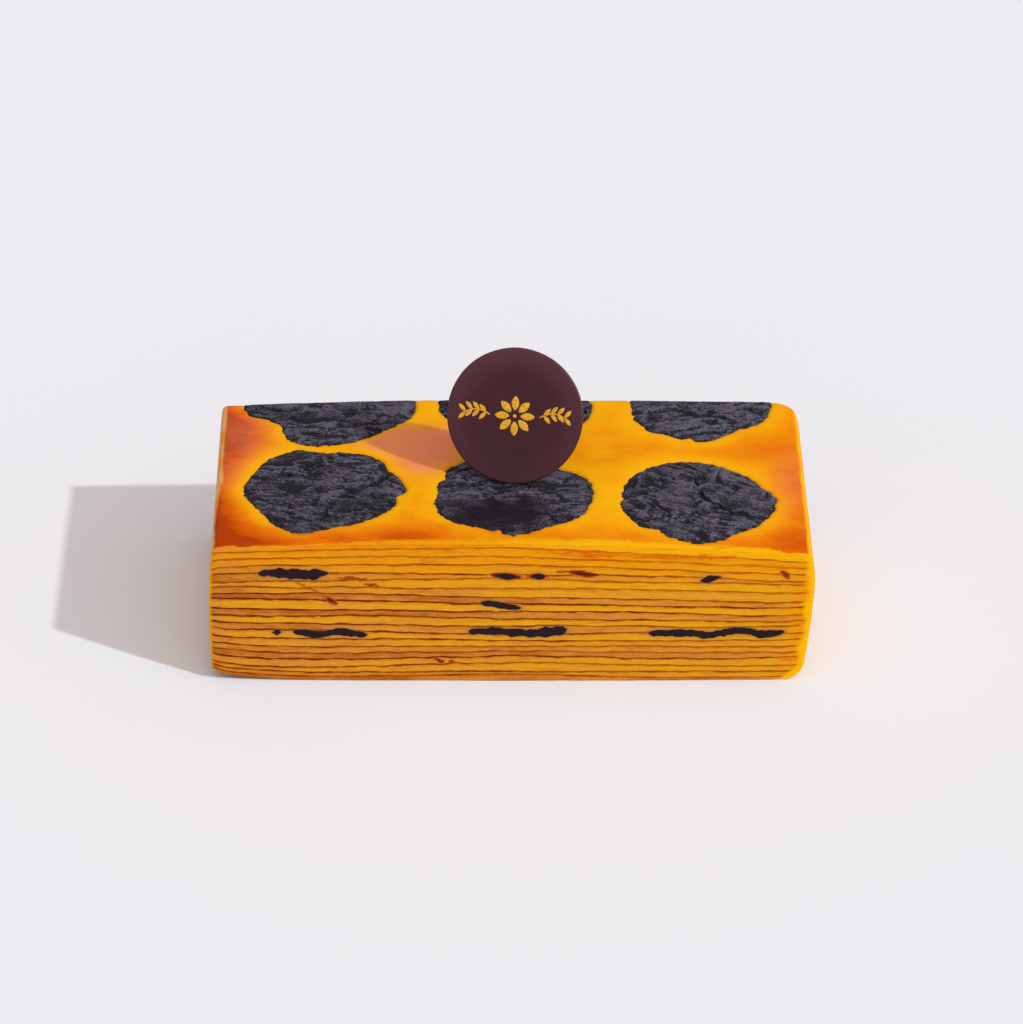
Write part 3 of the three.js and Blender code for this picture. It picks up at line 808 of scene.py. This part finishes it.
def top_prune(prune):
    """A pressed prune: a wrinkled face with a tucked edge, a low rim and a flat underside."""
    middle_x, middle_y = TOP_PRUNES[prune][0]
    grain, paleness = PRUNE_LOOKS[prune]
    seed = int(200 + middle_x + 3 * middle_y)
    angle = full_turn(PRUNE_STEPS)
    reach = ragged_reach(prune, angle)
    to_back = (DEPTH / 2 - BEHIND_CUT - middle_y) / np.maximum(np.cos(angle), 1e-6)
    cut = to_back < reach
    reach = np.minimum(reach, to_back)

    share = 1 - (1 - np.arange(1, PRUNE_RINGS + 1) / PRUNE_RINGS) ** 1.15
    distance = share[:, None] * reach[None, :]
    x = middle_x + distance * np.sin(angle)
    y = middle_y + distance * np.cos(angle)
    folds, fine = wrinkles(x, y, grain, seed)
    flat = smooth_patch(x, y) if prune == "front_middle" else np.zeros_like(x)
    clefts = clefts_at(prune, x - middle_x, y - middle_y)
    height = folds * (1 - 0.6 * flat) + fine * (1 - 0.8 * flat) - clefts
    from_edge = (reach - distance) * np.where(cut, 4, 1)
    tuck = EDGE_TUCK * np.exp(-from_edge / 1.1)
    to_cut = smooth_step((DEPTH / 2 - y) / 2.5)
    lift = 0.15 + 0.85 * height * smooth_step(from_edge / 2.5 + 0.3) - tuck
    z = top_height(x, y) + lerp(np.clip(lift, -0.1, 0.05), lift, to_cut)

    rim_z = top_height(x[-1], y[-1]) - PRUNE_BODY
    rim = np.stack([x[-1], y[-1], rim_z], 1)
    rings = np.concatenate([np.stack([x, y, z], 2), rim[None]])
    crown = (middle_x, middle_y, np.mean(z[0]))
    under = (middle_x, middle_y, top_height(middle_x, middle_y) - PRUNE_BODY)
    quads, triangles = ring_faces(len(rings), PRUNE_STEPS)
    # Painted highlight and shade: on top of each prune's own paleness, its colour is painted paler on its
    # folds and wrinkles and darker in its clefts and at its tucked rim.
    rim_shade = 0.35 * np.exp(-from_edge / 0.9)
    light = np.clip(paleness + 0.25 * folds + 1.2 * fine - 1.2 * clefts - rim_shade, 0, 1)
    tone_and_painted_light = np.concatenate([[0.5], light.ravel(), np.full(PRUNE_STEPS + 1, 0.4)])
    # Painted reflection and shade: where the prune is pressed flat in front of the disc, it is painted darker
    # for the disc's reflection and shade.
    disc_reflection_and_shade = np.concatenate([[0], flat.ravel(), np.zeros(PRUNE_STEPS + 1)])
    points = ring_points(crown, rings, under)
    return make_mesh(f"top_prune_{prune}", points, quads, triangles, {"tone_and_painted_light": tone_and_painted_light, "disc_reflection_and_shade": disc_reflection_and_shade})


# ---- Prunes in the cuts ----

SLICE_STEP = 0.3
SLICE_SIDES = 16
SLICE_BODY = 1.2  # how far it reaches into the cake
SLICE_TIP = 0.6  # how far inside the cut its two ends lie


def cut_prune(name, piece, side):
    """A prune lying in the front cut, when side is -1, or the back cut, when it is 1."""
    start, end, height = piece[:3]
    x = np.linspace(start, end, round((end - start) / SLICE_STEP) + 1)[1:-1, None]
    angle = full_turn(SLICE_SIDES)[None, :]
    half = slice_half(piece, x) * (1 + 0.22 * noise((x / 1.1, np.sin(angle) * 1.5 + height), 47))
    z = slice_middle(piece, x) + side * half * np.sin(angle)
    proud = np.cos(angle)
    bump = 0.12 * fractal((x / 1.2, z / 0.8), 3, 49)
    outward = np.where(proud > 0, (0.1 + bump) * proud**0.6, SLICE_BODY * proud)
    surface = -front_y(x) if side < 0 else DEPTH / 2
    y = side * (surface - 0.05 + outward)
    rings = np.stack(np.broadcast_arrays(x, y, z), 2)
    tip_y = side * (DEPTH / 2 - SLICE_TIP)
    tips = [(tip, tip_y, float(slice_middle(piece, np.array(tip)))) for tip in (start, end)]
    quads, triangles = ring_faces(len(rings), SLICE_SIDES)
    points = ring_points(tips[0], rings, tips[1])
    return make_mesh(name, points, quads, triangles, {"tone_and_painted_light": 0.35, "disc_reflection_and_shade": 0})


# ---- Chocolate disc ----

DISC_STEPS = 160
DISC_EDGE = 0.45  # rounding of its rim


def on_disc(across, behind, up):
    """The place of a point that is given from the disc's centre, facing the disc."""
    foot_height = top_height(DISC_FOOT["x"], DISC_FOOT["y"]) + PRUNE_PROUD - DISC_FOOT["sunk"]
    rise = up + DISC_RADIUS
    y = behind * math.cos(DISC_LEAN) + rise * math.sin(DISC_LEAN)
    z = rise * math.cos(DISC_LEAN) - behind * math.sin(DISC_LEAN)
    turned_x = across * math.cos(DISC_TURN) + y * math.sin(DISC_TURN)
    turned_y = y * math.cos(DISC_TURN) - across * math.sin(DISC_TURN)
    place = (turned_x + DISC_FOOT["x"], turned_y + DISC_FOOT["y"], z + foot_height)
    return np.stack(np.broadcast_arrays(*place), -1)


def disc_profile():
    """Distance from the disc's middle, and behind it, from the front face over the rim to the back face."""
    front = [(radius, -DISC_FACE) for radius in np.linspace(1, DISC_RADIUS - 1, 20)]
    for turn in np.linspace(0, math.pi / 2, 5):
        radius = DISC_RADIUS - DISC_EDGE * (1 - math.sin(turn))
        front.append((radius, DISC_EDGE * (1 - math.cos(turn)) - DISC_FACE))
    back = [(radius, -behind) for radius, behind in reversed(front)]
    return np.array(front + back)


def disc_mesh():
    profile = disc_profile()
    angle = full_turn(DISC_STEPS)[None, :]
    uneven = 0.05 * noise((np.cos(angle) * 3, np.sin(angle) * 3), 111)
    radius = profile[:, :1] * (1 + uneven / DISC_RADIUS)
    across, up = radius * np.sin(angle), radius * np.cos(angle)
    behind = profile[:, 1:] + 0.02 * noise((across / 6, up / 6), 112)
    rings = on_disc(across, behind, up)
    quads, triangles = ring_faces(len(profile), DISC_STEPS)
    points = ring_points(on_disc(0, -DISC_FACE, 0), rings, on_disc(0, DISC_FACE, 0))
    # Painted sheen: the chocolate is painted paler towards its rim, most at the top, where light falls on it.
    pale_sheen = smooth_step((radius / DISC_RADIUS - 0.55) / 0.45) * (0.6 + 0.3 * np.cos(angle))
    pale_sheen = np.concatenate([[0], pale_sheen.ravel(), [0]])
    return make_mesh("chocolate_disc", points, quads, triangles, {"pale_sheen": pale_sheen})


# The ornament on the disc: a rosette between two leafy sprigs, in raised gold.
GILT_PROUD = 0.12
# Points round half a strip: to one side, as a share of its half width, and behind the disc's face.
GILT_HALF = ((1, 0.1), (0.9, -0.75 * GILT_PROUD), (0.6, -GILT_PROUD))
GILT_SECTION = (*GILT_HALF, *[(-share, behind) for share, behind in reversed(GILT_HALF)])
STEM_HALF_WIDTH = 0.2
BUD_RADIUS = 0.55
PETALS = 8
PETAL = {"inner": 1.6, "length": 4.4, "width": 2.4}
SPRIG = {"start": 7.4, "end": 15.6, "bend": 1.4, "leaves": 4, "leaf_length": 3, "leaf_width": 1.3}


def strip_rings(across, up, half_width):
    """Rings of a thin raised strip on the disc's face, along a line, with its start and end points."""
    along_x, along_y = np.gradient(across), np.gradient(up)
    length = np.hypot(along_x, along_y)
    side_x, side_y = -along_y / length, along_x / length
    lines = []
    for share, behind in GILT_SECTION:
        out = half_width * share
        lines.append(on_disc(across + side_x * out, behind - DISC_FACE, up + side_y * out))
    start, end = [on_disc(across[i], 0.02 - DISC_FACE, up[i]) for i in (0, -1)]
    return start, np.stack(lines, 1), end


def leaf(base_across, base_up, heading, length, width):
    """A pointed leaf or petal from its base, at a heading from the disc's right."""
    share = np.linspace(0.02, 0.98, 15)
    across = base_across + length * share * math.cos(heading)
    up = base_up + length * share * math.sin(heading)
    return strip_rings(across, up, width / 2 * np.sin(math.pi * share) ** 0.75)


def sprig(side):
    """A curved stem with pairs of leaves, to one side of the rosette."""
    share = np.linspace(0, 1, 24)
    reach = lerp(SPRIG["start"], SPRIG["end"], share)
    up = SPRIG["bend"] * np.sin(math.pi * share)
    parts = [strip_rings(side * reach, up, np.full(len(share), STEM_HALF_WIDTH))]
    for i in range(SPRIG["leaves"]):
        at = (i + 0.6) / SPRIG["leaves"]
        base = lerp(SPRIG["start"], SPRIG["end"], at)
        base_up = SPRIG["bend"] * math.sin(math.pi * at)
        for lean in (-1, 1):
            heading = math.radians(90 - 90 * side + side * lean * 48)
            parts.append(leaf(side * base, base_up, heading, SPRIG["leaf_length"], SPRIG["leaf_width"]))
    return parts


def ornament_mesh():
    parts = [*sprig(-1), *sprig(1)]
    for i in range(PETALS):
        heading = 2 * math.pi * i / PETALS
        base_across, base_up = PETAL["inner"] * math.cos(heading), PETAL["inner"] * math.sin(heading)
        parts.append(leaf(base_across, base_up, heading, PETAL["length"], PETAL["width"]))
    share = np.linspace(-1, 1, 9)
    parts.append(strip_rings(BUD_RADIUS * share, np.zeros(9), BUD_RADIUS * np.sqrt(1.02 - share**2)))
    points, quads, triangles = [], [], []
    for start, rings, end in parts:
        first = sum(len(part) for part in points)
        part_quads, part_triangles = ring_faces(rings.shape[0], rings.shape[1], first)
        points.append(ring_points(start, rings, end))
        quads.append(part_quads)
        triangles.append(part_triangles)
    return make_mesh("disc_ornament", *[np.concatenate(arrays) for arrays in (points, quads, triangles)])


# ---- Materials ----


class Nodes:
    """Builds the nodes of a material or of the world. An output that is put into a socket is linked to it."""

    def __init__(self, owner, shader="BSDF_PRINCIPLED", place="Object"):
        owner.use_nodes = True
        self.owner = owner
        self.tree = owner.node_tree
        self.shader = next(node for node in self.tree.nodes if node.type == shader)
        self.place = self.add("ShaderNodeTexCoord").outputs[place]

    def put(self, socket, value):
        if isinstance(value, bpy.types.NodeSocket):
            self.tree.links.new(value, socket)
        elif socket.type == "RGBA":
            socket.default_value = (*value, 1)
        else:
            socket.default_value = value

    def add(self, kind, inputs=None, **settings):
        node = self.tree.nodes.new(kind)
        for name, value in settings.items():
            setattr(node, name, value)
        for name, value in (inputs or {}).items():
            self.put(node.inputs[name], value)
        return node

    def set_shader(self, **values):
        for name, value in values.items():
            self.put(self.shader.inputs[name.replace("_", " ")], value)

    def attribute(self, name):
        return self.add("ShaderNodeAttribute", attribute_name=name).outputs["Fac"]

    def calc(self, operation, a, b, clamp=False):
        return self.add("ShaderNodeMath", {0: a, 1: b}, operation=operation, use_clamp=clamp).outputs[0]

    def times(self, a, b, clamp=False):
        return self.calc("MULTIPLY", a, b, clamp)

    def remap(self, value, low, high, to_low=0.0, to_high=1.0):
        inputs = {"Value": value, "From Min": low, "From Max": high, "To Min": to_low, "To Max": to_high}
        return self.add("ShaderNodeMapRange", inputs, interpolation_type="SMOOTHSTEP").outputs["Result"]

    def mix(self, factor, a, b):
        return self.add("ShaderNodeMix", {"Factor": factor, 6: a, 7: b}, data_type="RGBA").outputs[2]

    def stretched(self, size):
        """Object coordinates in cells of this size, in millimetres along x, y and z."""
        scale = [1 / (MM * length) for length in size]
        return self.add("ShaderNodeVectorMath", {0: self.place, 1: scale}, operation="MULTIPLY").outputs[0]

    def noise(self, size, detail=3, distortion=0, roughness=0.5):
        settings = {"Scale": 1, "Detail": detail, "Distortion": distortion, "Roughness": roughness}
        return self.add("ShaderNodeTexNoise", {"Vector": self.stretched(size), **settings}).outputs["Fac"]

    def cloud(self, size, low, high, to_low=0.0, to_high=1.0, **noise_settings):
        """Noise, with its values between low and high brought to another range."""
        return self.remap(self.noise(size, **noise_settings), low, high, to_low, to_high)

    def specks(self, size, share):
        """1 in small round specks and 0 elsewhere."""
        cells = self.add("ShaderNodeTexVoronoi", {"Vector": self.stretched(size), "Scale": 1})
        return self.remap(cells.outputs["Distance"], share, 0.5 * share)

    def ramp(self, value, stops):
        node = self.add("ShaderNodeValToRGB", {"Fac": value})
        elements = node.color_ramp.elements
        elements[0].position, elements[0].color = stops[0][0], (*stops[0][1], 1)
        elements[1].position, elements[1].color = stops[-1][0], (*stops[-1][1], 1)
        for position, colour in stops[1:-1]:
            elements.new(position).color = (*colour, 1)
        return node.outputs["Color"]

    def bump(self, height, distance):
        node = self.add("ShaderNodeBump", {"Height": height, "Distance": distance * MM, "Strength": 1})
        self.set_shader(Normal=node.outputs["Normal"])


def material_nodes(name):
    return Nodes(bpy.data.materials.new(name))


CRUMB_TONES = (
    (0.0, (0.80, 0.37, 0.005)),
    (0.3, (0.75, 0.32, 0.014)),
    (0.55, (0.68, 0.26, 0.03)),
    (0.8, (0.56, 0.195, 0.027)),
    (1.0, (0.42, 0.115, 0.012)),
)
BROWNED_COLOUR = (0.42, 0.12, 0.008)  # of the crumb just under a line
PALE_LINE_COLOUR = (0.50, 0.115, 0.001)
LINE_COLOUR = (0.16, 0.026, 0.0005)
RICH_COLOUR = (0.85, 0.30, 0.0005)
TIN_SIDE_COLOUR = (0.98, 0.47, 0.001)
PARED_COLOUR = (0.84, 0.46, 0.18)
PALE_STAIN_COLOUR = (0.48, 0.095, 0.008)
STAIN_COLOUR = (0.14, 0.012, 0.006)
SMEAR_COLOUR = (0.70, 0.125, 0.003)
JUICE_COLOUR = (0.22, 0.13, 0.05)
SPECK_COLOUR = (0.95, 0.62, 0.2)
TIN_SIDE_TONES = (
    (0.0, TIN_SIDE_COLOUR),
    (0.5, (0.94, 0.39, 0.002)),
    (1.0, (0.82, 0.28, 0.003)),
)
SEAM_COLOUR = (0.64, 0.21, 0.002)
SKIN_TONES = (
    (0.0, (0.95, 0.45, 0.003)),
    (0.25, (0.94, 0.36, 0.002)),
    (0.45, (0.86, 0.26, 0.002)),
    (0.65, (0.80, 0.17, 0.001)),
    (0.85, (0.66, 0.10, 0.001)),
    (1.0, (0.46, 0.05, 0.001)),
)
# Colour of the dull rims, and of the painted shadow that the disc casts beside it.
DULL_AND_SHADOW_COLOUR = (0.90, 0.27, 0.13)
SHORE_COLOUR = (0.5, 0.17, 0.004)
# Prune colours: dark with painted shade in the hollows, pale with painted highlight on the folds.
PRUNE_DARK_AND_SHADED = (0.003, 0.0015, 0.006)
PRUNE_PALE_AND_LIT = (0.126, 0.110, 0.158)
# Painted reflection and shade of the disc on the front middle prune.
PRUNE_DISC_REFLECTION_AND_SHADE = (0.006, 0.001, 0.009)
CUT_PRUNE = (0.017, 0.006, 0.010)
CHOCOLATE = (0.046, 0.011, 0.017)
# Paler chocolate, for random mottle and for the painted sheen near the upper rim.
CHOCOLATE_PALE_AND_SHEEN = (0.088, 0.027, 0.035)
GILT = (0.85, 0.42, 0.02)
GILT_DARK = tuple(0.7 * channel for channel in GILT)
FLOOR = (0.86, 0.86, 0.87)
FLOOR_DARK = tuple(0.985 * channel for channel in FLOOR)
FLOOR_NEAR_CAKE = (0.82, 0.90, 0.96)  # evens out the light that the golden sides throw on it


def darkened(nodes, colour, amount, halfway, darkest):
    """Goes to the darkest colour by way of another one, so that yellow doesn't turn olive."""
    colour = nodes.mix(nodes.remap(amount, 0, 0.5), colour, halfway)
    return nodes.mix(nodes.remap(amount, 0.5, 1), colour, darkest)


def heights_in_layer(nodes):
    """Millimetres above the line under the layer, and below the line over it."""
    level, thick = nodes.attribute("level"), nodes.attribute("thick")
    return nodes.times(level, thick), nodes.times(nodes.calc("SUBTRACT", 1, level), thick)


def tin_side_colour(nodes):
    """Skin that baked against the tin: smooth and yellow, more golden in soft patches, with faint seams."""
    patches = nodes.cloud((26, 18, 12), 0.3, 0.7, 0, 0.65, detail=2, distortion=0.3)
    mottle = nodes.cloud((6, 5, 3.2), 0.4, 0.8, 0, 0.35)
    skin = nodes.ramp(nodes.calc("ADD", patches, mottle), TIN_SIDE_TONES)
    _, below_top = heights_in_layer(nodes)
    seam = nodes.times(nodes.remap(below_top, 0.7, 0.05, 0, 0.3), nodes.cloud((9, 9, 4), 0.35, 0.65, 0.1, 1))
    return nodes.mix(seam, skin, SEAM_COLOUR)


def plain_crumb_colour(nodes):
    """The layer's tone with streaks and pale specks, and a deeper yellow near the top and the right end.
    On the top layer that deep yellow is painted light, paler towards the right.
    """
    streaks = nodes.cloud((12, 12, 0.9), 0.3, 0.7, -0.14, 0.14, detail=4, distortion=0.3)
    mottle = nodes.cloud((3.2, 3.2, 1.2), 0.3, 0.7, -0.1, 0.1)
    tone = nodes.calc("ADD", nodes.attribute("tone"), nodes.calc("ADD", streaks, mottle))
    rich = nodes.mix(nodes.attribute("painted_light_to_right"), RICH_COLOUR, TIN_SIDE_COLOUR)
    colour = nodes.mix(nodes.attribute("rich"), nodes.ramp(tone, CRUMB_TONES), rich)
    return nodes.mix(nodes.times(nodes.specks((0.9, 0.9, 0.7), 0.2), 0.4), colour, SPECK_COLOUR)


def add_lines(nodes, colour):
    """Browned lines over and under the layer, browner crumb below the upper one, and brown hairs."""
    above_bottom, below_top = heights_in_layer(nodes)
    width = nodes.cloud((4, 4, 1.5), 0.25, 0.75, 0.45 * LINE_WIDTH, 1.6 * LINE_WIDTH, detail=4)
    line = nodes.attribute("line")
    over = nodes.times(nodes.remap(below_top, width, nodes.times(width, 0.3)), line, clamp=True)
    under = nodes.remap(above_bottom, nodes.times(width, 0.4), 0)
    under = nodes.times(under, nodes.attribute("under"), clamp=True)
    browned = nodes.times(nodes.remap(below_top, 1.4, 0.1, 0, 0.5), line, clamp=True)
    hairs = nodes.cloud((16, 16, 0.45), 0.56, 0.66, 0, 0.3, distortion=0.2)
    for amount in (browned, hairs):
        colour = nodes.mix(amount, colour, BROWNED_COLOUR)
    return darkened(nodes, colour, nodes.calc("MAXIMUM", over, under), PALE_LINE_COLOUR, LINE_COLOUR)


def crumb_colour(nodes):
    """The colour of cut crumb with its lines, the skin of the tin sides, and what the knife left on it."""
    colour = add_lines(nodes, plain_crumb_colour(nodes))
    side = nodes.mix(nodes.attribute("side"), TIN_SIDE_COLOUR, tin_side_colour(nodes))
    colour = nodes.mix(nodes.attribute("end"), colour, side)
    colour = nodes.mix(nodes.times(nodes.attribute("halo"), 0.6), colour, JUICE_COLOUR)
    smear = nodes.times(nodes.attribute("smear"), nodes.cloud((4, 4, 0.7), 0.35, 0.6, 0.35, 1))
    colour = nodes.mix(smear, colour, SMEAR_COLOUR)
    return darkened(nodes, colour, nodes.attribute("stain"), PALE_STAIN_COLOUR, STAIN_COLOUR)


def crumb_height(nodes):
    pores = nodes.specks((1.9, 1.9, 1.2), 0.16)
    return nodes.calc("SUBTRACT", nodes.noise((0.5, 0.5, 0.35), 4), nodes.times(pores, 0.6))


def crumb_material():
    nodes = material_nodes("crumb")
    nodes.set_shader(Base_Color=crumb_colour(nodes), Roughness=0.45, Specular_IOR_Level=0.02)
    nodes.bump(crumb_height(nodes), 0.18)
    return nodes.owner


def skin_colour(nodes):
    """Golden skin, browner in places, with dull patches, painted shadow where the disc's shadow falls beside
    it, and a darker shore round the prunes.
    """
    mottle = nodes.cloud((9, 7, 7), 0.3, 0.7, -0.08, 0.08, distortion=0.3)
    skin = nodes.ramp(nodes.calc("ADD", nodes.attribute("toast"), mottle), SKIN_TONES)
    # Painted shadow of the disc, and the dull rims.
    dull_and_shadow = nodes.times(nodes.attribute("dull_and_shadow"), nodes.cloud((6, 4, 6), 0.3, 0.6, 0.6, 1), clamp=True)
    skin = nodes.mix(dull_and_shadow, skin, DULL_AND_SHADOW_COLOUR)
    return nodes.mix(nodes.times(nodes.attribute("shore"), 0.3), skin, SHORE_COLOUR)


def skin_material():
    """The top layer: golden skin over crumb that shows at the cuts and where the knife scraped."""
    nodes = material_nodes("golden_skin")
    cover = nodes.attribute("skin")
    colour = nodes.mix(cover, crumb_colour(nodes), skin_colour(nodes))
    pared = nodes.mix(nodes.cloud((6, 8, 6), 0.35, 0.65), PARED_COLOUR, RICH_COLOUR)
    colour = nodes.mix(nodes.attribute("pared"), colour, pared)
    nodes.set_shader(Base_Color=colour, Roughness=0.36, Specular_IOR_Level=0.02)
    crumb = nodes.times(nodes.calc("SUBTRACT", 1, cover), crumb_height(nodes))
    nodes.bump(nodes.calc("ADD", crumb, nodes.times(nodes.noise((2.4, 1.6, 2)), 0.3)), 0.15)
    return nodes.owner


def prune_material():
    nodes = material_nodes("prune")
    # Each prune's tone with random grit, and painted highlight and shade from its folds.
    grit = nodes.cloud((0.8, 0.5, 0.5), 0.3, 0.7, -0.32, 0.32, roughness=0.6)
    tone_and_painted_light = nodes.calc("ADD", nodes.attribute("tone_and_painted_light"), grit)
    colour = nodes.mix(nodes.remap(tone_and_painted_light, 0.12, 1), PRUNE_DARK_AND_SHADED, PRUNE_PALE_AND_LIT)
    # Painted reflection and shade of the disc, where the prune is pressed flat in front of it.
    disc_reflection_and_shade = nodes.attribute("disc_reflection_and_shade")
    nodes.set_shader(
        Base_Color=nodes.mix(disc_reflection_and_shade, colour, PRUNE_DISC_REFLECTION_AND_SHADE),
        Roughness=nodes.cloud((0.9, 0.6, 0.8), 0.36, 0.5, 0.17, 0.6, detail=4),
        Specular_IOR_Level=0.3,
        Coat_Weight=0.12,
        Coat_Roughness=0.3,
    )
    clear_of_disc_patch = nodes.calc("SUBTRACT", 1, nodes.times(disc_reflection_and_shade, 0.6))
    nodes.bump(nodes.times(nodes.noise((0.6, 0.5, 0.5), roughness=0.6), clear_of_disc_patch), 0.75)
    return nodes.owner


def cut_prune_material():
    nodes = material_nodes("cut_prune")
    nodes.set_shader(Base_Color=CUT_PRUNE, Roughness=0.5, Specular_IOR_Level=0.1)
    nodes.bump(nodes.noise((0.7, 0.7, 0.4)), 0.25)
    return nodes.owner


def chocolate_material():
    nodes = material_nodes("chocolate")
    # Random paler mottle, and painted sheen near the upper rim.
    pale_sheen = nodes.calc("ADD", nodes.cloud((14, 14, 10), 0.3, 0.7, 0, 0.15), nodes.attribute("pale_sheen"))
    colour = nodes.mix(pale_sheen, CHOCOLATE, CHOCOLATE_PALE_AND_SHEEN)
    nodes.set_shader(Base_Color=colour, Roughness=0.38, Specular_IOR_Level=0.2)
    nodes.bump(nodes.noise((0.8, 0.8, 0.8)), 0.02)
    return nodes.owner


def gilt_material():
    nodes = material_nodes("gilt")
    colour = nodes.mix(nodes.cloud((0.7, 0.7, 0.7), 0.35, 0.65), GILT, GILT_DARK)
    nodes.set_shader(Base_Color=colour, Roughness=0.45, Specular_IOR_Level=0.3)
    return nodes.owner


def floor_material():
    nodes = material_nodes("floor")
    colour = nodes.mix(nodes.cloud((160, 160, 160), 0.2, 0.8, 0, 0.5, detail=2), FLOOR, FLOOR_DARK)
    distance = nodes.add("ShaderNodeVectorMath", {0: nodes.stretched((100, 60, 1000))}, operation="LENGTH")
    near = nodes.remap(distance.outputs["Value"], 1.6, 0.8)
    colour = nodes.mix(near, colour, FLOOR_NEAR_CAKE)
    nodes.set_shader(Base_Color=colour, Roughness=0.9, Specular_IOR_Level=0.1)
    return nodes.owner


# ---- Stage, light and camera ----

HORIZON_LIGHT = (0.42, 0.40, 0.41)
OVERHEAD_LIGHT = (0.96, 0.89, 0.90)
LIGHT_TOWARDS = (0.25, -0.55, 0)  # the studio is this much brighter on the camera's side
SUN_COLOUR = (0.873, 0.945, 1.0)
SUN_STRENGTH = 1.82
SUN_TOWARDS = (1.115, -0.652, 1.0)
SUN_ANGLE = math.radians(1.8)
CAMERA_PLACE = (0, -1.773, 1.056)  # metres
CAMERA_PITCH = math.radians(60.005)
CAMERA_LENS = 240.96
SENSOR_WIDTH = 36
CAMERA_SIGHT = 20  # metres
FLOOR_SIZE = 8  # metres


def add_floor():
    corners = np.array([(-1, -1, 0), (1, -1, 0), (1, 1, 0), (-1, 1, 0)]) * FLOOR_SIZE / 2 / MM
    mesh = make_mesh("floor", corners, np.array([[0, 1, 2, 3]]))
    mesh.materials.append(floor_material())
    add_object("floor", mesh)


def add_studio():
    """A pale world, brighter overhead and on the camera's side."""
    nodes = Nodes(bpy.data.worlds.new("studio"), "BACKGROUND", "Generated")
    up = nodes.add("ShaderNodeSeparateXYZ", {0: nodes.place}).outputs["Z"]
    side = nodes.add("ShaderNodeVectorMath", {0: nodes.place, 1: LIGHT_TOWARDS}, operation="DOT_PRODUCT")
    colour = nodes.mix(nodes.calc("POWER", up, 2), HORIZON_LIGHT, OVERHEAD_LIGHT)
    nodes.set_shader(Color=colour, Strength=nodes.calc("ADD", side.outputs["Value"], 1))
    bpy.context.scene.world = nodes.owner


def add_sun():
    sun = bpy.data.lights.new("key", "SUN")
    sun.energy = SUN_STRENGTH
    sun.color = SUN_COLOUR
    sun.angle = SUN_ANGLE
    add_object("key", sun).rotation_euler = Vector(SUN_TOWARDS).to_track_quat("Z", "Y").to_euler()


def add_camera():
    data = bpy.data.cameras.new("camera")
    data.lens = CAMERA_LENS
    data.sensor_width = SENSOR_WIDTH
    data.clip_end = CAMERA_SIGHT
    camera = add_object("camera", data)
    camera.location = CAMERA_PLACE
    camera.rotation_euler = (CAMERA_PITCH, 0, 0)
    bpy.context.scene.camera = camera


# ---- Assembly ----


def add_cake():
    crumb, skin = crumb_material(), skin_material()
    for k in range(1, LAYERS + 1):
        name = f"layer_{k:02d}"
        add_piece(layer_mesh(k), skin if k == LAYERS else crumb, [name])


def add_prunes():
    material = prune_material()
    for prune in TOP_PRUNES:
        add_piece(top_prune(prune), material, [f"top_prune_{prune}"])
    cut_material = cut_prune_material()
    for side, place, pieces in ((-1, "front", FRONT_SLICES), (1, "back", BACK_SLICES)):
        for name, piece in pieces.items():
            full_name = f"{place}_prune_{name}"
            add_piece(cut_prune(full_name, piece, side), cut_material, [full_name])


def add_disc():
    add_piece(disc_mesh(), chocolate_material(), ["chocolate_disc"])
    add_piece(ornament_mesh(), gilt_material())


add_cake()
add_prunes()
add_disc()
add_floor()
add_studio()
add_sun()
add_camera()
bpy.context.scene.view_settings.view_transform = "Standard"
